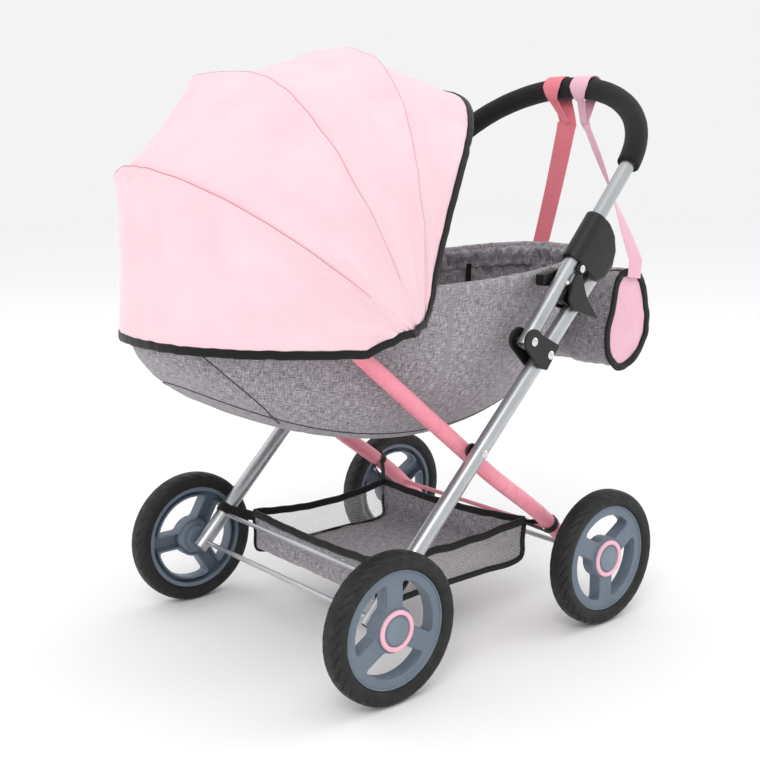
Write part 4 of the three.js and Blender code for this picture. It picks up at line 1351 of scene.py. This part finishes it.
def basket_profile(share):
    """The grey cloth's path along the basket: down the front, along the floor, up the rear, as (y, z)."""
    front, rear, low, high, inset = (BASKET[k] for k in ("front", "rear", "low", "high", "inset"))
    middle = (high + low) / 2
    corners = [(front, high), (front + 2, middle), (front + inset, low + 4), (front + inset + 5, low + 1),
               (front + 60, low + 0.4), (rear - 60, low + 0.4), (rear - inset - 5, low + 1),
               (rear - inset, low + 4), (rear - 2, middle), (rear, high)]
    line = through([Vector(c) for c in corners], 12)
    along = distances(line)
    goal = share * along[-1]
    for k in range(1, len(line)):
        if along[k] >= goal:
            t = (goal - along[k - 1]) / (along[k] - along[k - 1])
            return line[k - 1].lerp(line[k], t)
    return line[-1]


def basket_skew(x, share):
    """How far the cloth is pulled along Y: the far rear corner comes forward with its strap."""
    return -FAR_CORNER_PULL * share * (BASKET["x"] - x) / (2 * BASKET["x"])


def basket_width(z):
    return BASKET["x"] - BASKET["inset"] * (BASKET["high"] - z) / (BASKET["high"] - BASKET["low"])


def make_basket():
    """The grey cloth, the binding on its edges and the two nets."""
    rows, columns = 110, 90
    points, uvs = [], []
    for i in range(rows):
        share = i / (rows - 1)
        y, z = basket_profile(share)
        half = basket_width(z) - 0.6
        inward = 1 if share < 0.5 else -1
        floor = clamp((BASKET["high"] - z - 30) / 12)
        upright = 1 - floor
        for j in range(columns):
            u = -1 + 2 * j / (columns - 1)
            dip = 1.5 * ripple(u * 3, share * 7, 3) + 0.9 * ripple(u * 8, share * 17, 5)
            hang = (1 - u * u) * upright * 2.0
            crease = upright * dip * (1 - u ** 8) * clamp((108 - z) / 12)
            top_sag = 5 * (1 - u * u) * max(0.0, (z - 96) / 16)
            y_here = y + basket_skew(u * half, (y - BASKET["front"]) / BASKET_DEPTH)
            height = z + floor * abs(dip) * 0.9 - top_sag
            points.append(at(u * half, y_here + inward * (hang + crease), height))
            uvs.append((u * half * MM, share * 0.29))
    cloth = build("basket_cloth", points, grid_faces(rows, columns), GREY_CLOTH, uvs)
    thicken(cloth, 0.0012)
    piece(cloth, "basket", "grey_fabric", "basket")
    edges = []
    for inward, share in ((1, 0.0), (-1, 1.0)):
        line = []
        for j in range(EDGE_POINTS):
            u = -1 + 2 * j / (EDGE_POINTS - 1)
            y, z = basket_profile(share)
            y += basket_skew(u * BASKET["x"], share)
            line.append(at(u * (BASKET["x"] - 0.4),
                           y + inward * (1 - u * u) * 2.0 + 0.8 * ripple(u * 6, share, 1),
                           z - 5 * (1 - u * u) - 1.5 + 0.8 * ripple(u * 7, share, 4)))
            line[-1].y -= inward * 0.4 * MM
        edges.append(tape(f"basket_edge_{share}", line, [UP] * EDGE_POINTS, BINDING_WIDTH, 4.4 * MM, BINDING))
    for side in (1, -1):
        top = []
        for j in range(EDGE_POINTS):
            v = j / (EDGE_POINTS - 1)
            y = BASKET["front"] + BASKET_DEPTH * v
            sag = 7 * math.sin(math.pi * v) + 1.2 * ripple(v * 9, side, 2)
            y += basket_skew(side * BASKET["x"], v)
            half = BASKET["x"] - 0.3 - 3.0 * math.sin(math.pi * v)
            top.append(at(side * half, y, BASKET["high"] - 1.5 - sag))
        edges.append(tape(f"basket_top_{side}", top, [UP] * EDGE_POINTS, BINDING_WIDTH, 3.4 * MM, BINDING))
        lines = [basket_profile(k / (SIDE_POINTS - 1)) for k in range(SIDE_POINTS)]
        low = []
        for y, z in lines:
            skew = basket_skew(side * BASKET["x"], (y - BASKET["front"]) / BASKET_DEPTH)
            low.append(at(side * (basket_width(z) + 0.2), y + skew, z))
        widths = [Vector((0, -run.y, run.x)) for run in directions(lines)]
        edges.append(tape(f"basket_side_{side}", low, widths, 7 * MM, 2.2 * MM, BINDING))
    piece(join("basket_binding", *edges), "basket", "strap")
    for side_name, side in SIDES:
        make_net(side_name, side)


def make_net(side_name, side):
    """A side panel of real netting: a diamond lattice of thin threads."""
    step, thread = 4.0, 0.32
    height = BASKET["high"] - BASKET["low"] - 2
    across, rise = int(BASKET_DEPTH / step), int(height / step)
    points, index = [], {}

    def node(i, j):
        if (i, j) not in index:
            v, w = i / (2 * across), j / (2 * rise)
            low_front, low_rear = BASKET["front"] + BASKET["inset"], BASKET["rear"] - BASKET["inset"]
            y = (low_front + (low_rear - low_front) * v) * (1 - w) + (BASKET["front"] + BASKET_DEPTH * v) * w
            sag = 7 * math.sin(math.pi * v) * w
            z = BASKET["low"] + 1 + height * w - sag
            bulge = 3.0 * math.sin(math.pi * v) * w - 1.6 * math.sin(math.pi * w) * math.sin(math.pi * v)
            y += basket_skew(side * BASKET["x"], v)
            half = basket_width(BASKET["low"] + 44 * w) - 0.6 - bulge + 0.7 * ripple(v * 8, w * 3, side)
            points.append(at(side * half, y, z))
            index[(i, j)] = len(points) - 1
        return index[(i, j)]

    faces = []
    for i in range(2 * across - 1):
        for j in range(1, 2 * rise):
            if (i + j) % 2 == 0:
                faces.append((node(i, j), node(i + 1, j - 1), node(i + 2, j), node(i + 1, j + 1)))
    net = build(f"basket_net_{side_name}", points, faces, NET)
    wire = net.modifiers.new("threads", "WIREFRAME")
    wire.thickness = thread * MM * 2
    wire.use_even_offset = False
    bpy.context.view_layer.update()
    apply_modifiers(net)
    shade_smooth(net.data)
    piece(net, "basket", "grey_fabric")


def strap_loop(name, corner, tube_point, tube_direction, tube_radius, width):
    """A band from a sewn corner of the basket, round a tube and back."""
    axis = tube_direction.normalized()
    reach = corner - tube_point
    reach -= axis * reach.dot(axis)
    toward = reach.normalized()
    other = axis.cross(toward)
    radius = tube_radius + 1.3 * MM
    line = [corner]
    for k in range(27):
        angle = math.radians(38 + (360 - 76) * k / 26)
        line.append(tube_point + (toward * math.cos(angle) + other * math.sin(angle)) * radius)
    line.append(corner + other * 1.2 * MM)
    band = tape(name, line, [axis] * len(line), width, 1.1 * MM, BINDING)
    piece(band, "basket", "strap")


CORNER_X, STRAP_Z = 109, 106
REAR_STRAP_PLACES = {1: (271, 108), -1: (243, 133)}


def make_basket_straps():
    leg_y = (STRAP_Z - LEG_BASE_Z) / LEG_SLOPE
    for side_name, side in SIDES:
        strap_loop(f"basket_strap_front_{side_name}", at(side * CORNER_X, 43, STRAP_Z),
                   at(side * LEG_X, leg_y, STRAP_Z), Vector((0, 1, LEG_SLOPE)), LEG_RADIUS * MM, 11 * MM)
        corner = at(side * CORNER_X, 253 + basket_skew(side * BASKET["x"], 1), 108)
        strap_loop(f"basket_strap_rear_{side_name}", corner, at(side * REAR_TUBE_X, *REAR_STRAP_PLACES[side]),
                   Vector((0, -47.6, 46)), REAR_TUBE_RADIUS * MM, 8 * MM)


make_basket()
make_basket_straps()

# ---- bag ----

BAG_HALF, BAG_END = 102, 26
BAG_SECTION = [(422, 259), (446, 268), (464, 290), (468, 318), (462, 348), (453, 366), (438, 376), (418, 374),
               (408, 362), (400, 332), (391, 300), (400, 270)]
BAG_CENTRE = (431, 322)
BAG_STEP_UV = 0.0026
GUSSET_SHARES = (1.0, 0.97, 0.85, 0.65, 0.4, 0.15)
FLAP_FIRST, FLAP_LAST, FLAP_HALF, FLAP_STATIONS, FLAP_LIP = 28, 80, 99, 81, 8


def closed_line(corners, steps):
    """A smooth closed line through its corners."""
    count = len(corners)
    ring = [Vector(c) for c in corners]
    out = []
    for i in range(count):
        p0, p1, p2, p3 = ring[i - 1], ring[i], ring[(i + 1) % count], ring[(i + 2) % count]
        for k in range(steps):
            t = k / steps
            out.append(0.5 * ((2 * p1) + (p2 - p0) * t + (2 * p0 - 5 * p1 + 4 * p2 - p3) * t * t
                              + (3 * p1 - p0 - 3 * p2 + p3) * t ** 3))
    return out


BAG_LINE = closed_line(BAG_SECTION, 12)


def bag_point(k, x, out=0.0):
    """A point of the bag's skin: k goes round its section, x along its length."""
    y, z = BAG_LINE[k % len(BAG_LINE)]
    radial = Vector((y - BAG_CENTRE[0], z - BAG_CENTRE[1]))
    end = min(1.0, (BAG_HALF - abs(x)) / BAG_END)
    ends = 1 - end
    slack = 2.6 * ripple(x * 0.03, k * 0.045, 2.0) + 1.5 * ripple(x * 0.09, k * 0.09, 6.0)
    fold = 4.5 * abs(ripple(x * 0.03 + k * 0.05, k * 0.03, 11.0))
    shrink = 1.2 + ends * ends * 2.0 + (slack + fold) * (0.35 + 0.65 * end)
    radial = radial.normalized() * (radial.length - max(0.0, shrink) + out)
    return at(x, BAG_CENTRE[0] + radial.x, BAG_CENTRE[1] + radial.y)


def make_bag():
    """The grey body, its pink domed ends, the flap over its top and the binding on every edge."""
    around = len(BAG_LINE)
    stations = [-BAG_HALF + 2 * BAG_HALF * i / 100 for i in range(101)]
    rings, uvs = [], []
    for x in stations:
        rings.append([bag_point(k, x) for k in range(around)])
        uvs += [(x * MM, k * BAG_STEP_UV) for k in range(around)]
    body = skin("bag_cloth", rings, GREY_CLOTH, caps=(False, False), uvs=uvs, smooth_angle=180)
    parts = []
    for side in (1, -1):
        shell_rings = []
        centre = at(side * BAG_HALF, *BAG_CENTRE)
        for share in GUSSET_SHARES:
            ring = []
            for k in range(around):
                point = centre.lerp(bag_point(k, side * BAG_HALF), share)
                dome = 3.0 * (1 - share ** 2) + 1.3 * ripple(k * 0.09, share * 3, side) * (1 - share)
                dent = 1.2 * abs(ripple(share * 2.2, k * 0.05, 5 + side))
                point.x += side * (dome - dent) * MM
                ring.append(point)
            shell_rings.append(ring if side > 0 else list(reversed(ring)))
        parts.append(skin(f"gusset_{side}", shell_rings, GUSSET_CLOTH, caps=(False, True), smooth_angle=180))
    piece(body, "bag", "grey_fabric", "bag")
    gussets = join("bag_gussets", *parts)
    layer = gussets.data.uv_layers.new(name="cloth")
    for loop in gussets.data.loops:
        co = gussets.data.vertices[loop.vertex_index].co
        layer.data[loop.index].uv = (co.y, co.z)
    piece(gussets, "bag", "pink_fabric")
    bindings = []
    for side in (1, -1):
        line, widths = [], []
        centre = at(side * (BAG_HALF + 0.4), *BAG_CENTRE)
        for k in range(around):
            base = bag_point(k, side * BAG_HALF, 0.6 + 1.6 * ripple(k * 0.16, side, 3.0))
            base.x += side * (0.9 + 0.9 * ripple(k * 0.13, side * 4, 1.0)) * MM
            line.append(base)
            widths.append((base - centre).normalized())
        bindings.append(tape(f"bag_binding_{side}", line, widths, 9 * MM, 3.4 * MM, BINDING, closed=True))
    flap_points, flap_uvs = [], []
    for i in range(FLAP_STATIONS):
        x = -FLAP_HALF + 2 * FLAP_HALF * i / (FLAP_STATIONS - 1)
        for k in range(FLAP_FIRST, FLAP_LAST + 1):
            lift = 1.9 + 0.8 * ripple(x * 0.05, k * 0.1, 14.0)
            if k < FLAP_FIRST + FLAP_LIP:
                lift += 2.4 * (1 - (k - FLAP_FIRST) / FLAP_LIP) * (0.6 + 0.4 * ripple(x * 0.07, 1, 1))
            flap_points.append(bag_point(k, x, lift))
            flap_uvs.append((x * MM, k * BAG_STEP_UV))
    width = FLAP_LAST - FLAP_FIRST + 1
    flap = build("bag_flap", flap_points, grid_faces(FLAP_STATIONS, width), GREY_CLOTH, flap_uvs)
    thicken(flap, 0.0012)
    piece(flap, "bag", "grey_fabric")
    rear_edge = flap_points[::width]
    bindings.append(tape("flap_edge", rear_edge, [UP] * FLAP_STATIONS, 7 * MM, 2.4 * MM, BINDING))
    piece(join("bag_binding", *bindings), "bag", "strap")


LOOP_PLACES = {1: 26, -1: -17}
STRAP_SEWN = {1: ((BAG_HALF + 5.2, 434, 366), (BAG_HALF + 4.6, 437, 386)),
              -1: ((-66, 455, 366), (-64, 454, 378))}
STRAP_JOIN = {1: (-2, 1, -37), -1: (14, 1, -37)}
STRAP_FACE = {1: (0, 1, 0), -1: (-0.8, -0.6, 0)}
STRAP_WIDTHS = {1: [(0, 24), (0.1, 22), (0.56, 9), (0.68, 27), (0.9, 27), (1, 10)],
                -1: [(0, 19), (0.56, 22), (0.68, 27), (0.9, 27), (1, 10)]}
STRAP_STEPS, LOOP_STEPS = 46, 30
LOOP_FIRST, LOOP_TURN = -62, 304


def make_bag_strap(side_name, side):
    """A strap sewn on the gusset, twisting up to a loop round the foam grip."""
    x_loop = LOOP_PLACES[side]
    grip = arch_point(math.acos(x_loop / HANDLE_HALF_SPAN))
    radius = (GRIP_RADIUS + 1.6) * MM
    sew_low, sew_high = (at(*place) for place in STRAP_SEWN[side])
    join_point = grip + Vector(STRAP_JOIN[side]) * MM
    face = Vector(STRAP_FACE[side])
    line = [sew_low, sew_low.lerp(sew_high, 0.5), sew_high]
    widths = [face] * 3
    for i in range(1, STRAP_STEPS):
        t = i / STRAP_STEPS
        line.append(sew_high.lerp(join_point, t) + REARWARD * (2 * math.sin(math.pi * t)) * MM)
        turn = eased(t) * math.pi / 2
        widths.append(Vector((-math.sin(turn), math.cos(turn), 0)) if side > 0 else face)
    line.append(join_point)
    loop_start, loop_end = math.radians(LOOP_FIRST), math.radians(LOOP_FIRST + LOOP_TURN)
    for k in range(LOOP_STEPS + 1):
        angle = math.radians(LOOP_FIRST + LOOP_TURN * k / LOOP_STEPS)
        pull = 1 + 0.22 * hump(angle - loop_start, 0.6) + 0.22 * hump(angle - loop_end, 0.6)
        line.append(grip + (REARWARD * math.cos(angle) + UP * math.sin(angle)) * radius * pull)
    line.append(join_point + Vector((0, -1.6, -3)) * MM)
    widths += [-LEFTWARD] * (len(line) - len(widths))

    def strap_width(t):
        return lookup(STRAP_WIDTHS[side], t) * MM

    cloth = GUSSET_CLOTH if side > 0 else STRAP_CLOTH
    strap = tape(f"bag_strap_cloth_{side_name}", line, widths, strap_width, 1.5 * MM, cloth)
    piece(strap, "bag", "pink_fabric", f"bag_strap_{side_name}")


make_bag()
for strap_name, strap_side in SIDES:
    make_bag_strap(strap_name, strap_side)

# ---- the carried-over rim, the carrycot fabrics' own meshes, the studio ----

for slot in bpy.data.objects["carrycot_rim"].material_slots:
    slot.material = WIRE
for obj in carrycot_fabrics:
    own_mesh(obj)

FLOOR_SIZE, WORLD_LIGHT = 12.0, 0.9
LIGHTS = (("key", (1.6, -1.9, 2.6), 1.3, 24, (1, 0.99, 0.98)),
          ("fill", (-2.2, -1.2, 1.6), 2.4, 5, (0.98, 0.99, 1)),
          ("top", (0.2, 0.6, 2.8), 2.6, 7, (1, 1, 1)), ("rear", (0.9, 2.4, 1.6), 1.4, 6, (1, 1, 1)))


def make_studio():
    floor_finish = Finish("studio_floor", "#ffffff", 0.9)
    patches = floor_finish.noise((0.7, 0.7, 0.7), 2)
    floor_finish.colour(floor_finish.ramp(patches, (0.3, "#fdfdfe"), (0.7, "#ffffff")))
    half = FLOOR_SIZE / 2
    floor = build("studio_floor", [(-half, -half, 0), (half, -half, 0), (half, half, 0), (-half, half, 0)],
                  [(0, 1, 2, 3)], floor_finish.material)
    world = bpy.data.worlds.new("studio")
    scene.world = world
    world.use_nodes = True
    background = world.node_tree.nodes["Background"]
    background.inputs["Color"].default_value = (1, 1, 1, 1)
    background.inputs["Strength"].default_value = WORLD_LIGHT
    target = at(0, 150, 330)
    for name, place, size, power, tint in LIGHTS:
        light = bpy.data.lights.new(name, "AREA")
        light.shape = "DISK"
        light.size = size
        light.energy = power
        light.color = tint
        holder = bpy.data.objects.new(name, light)
        holder.location = place
        direction = target - Vector(place)
        holder.rotation_euler = direction.to_track_quat("-Z", "Y").to_euler()
        scene.collection.objects.link(holder)


make_studio()

bpy.context.view_layer.update()
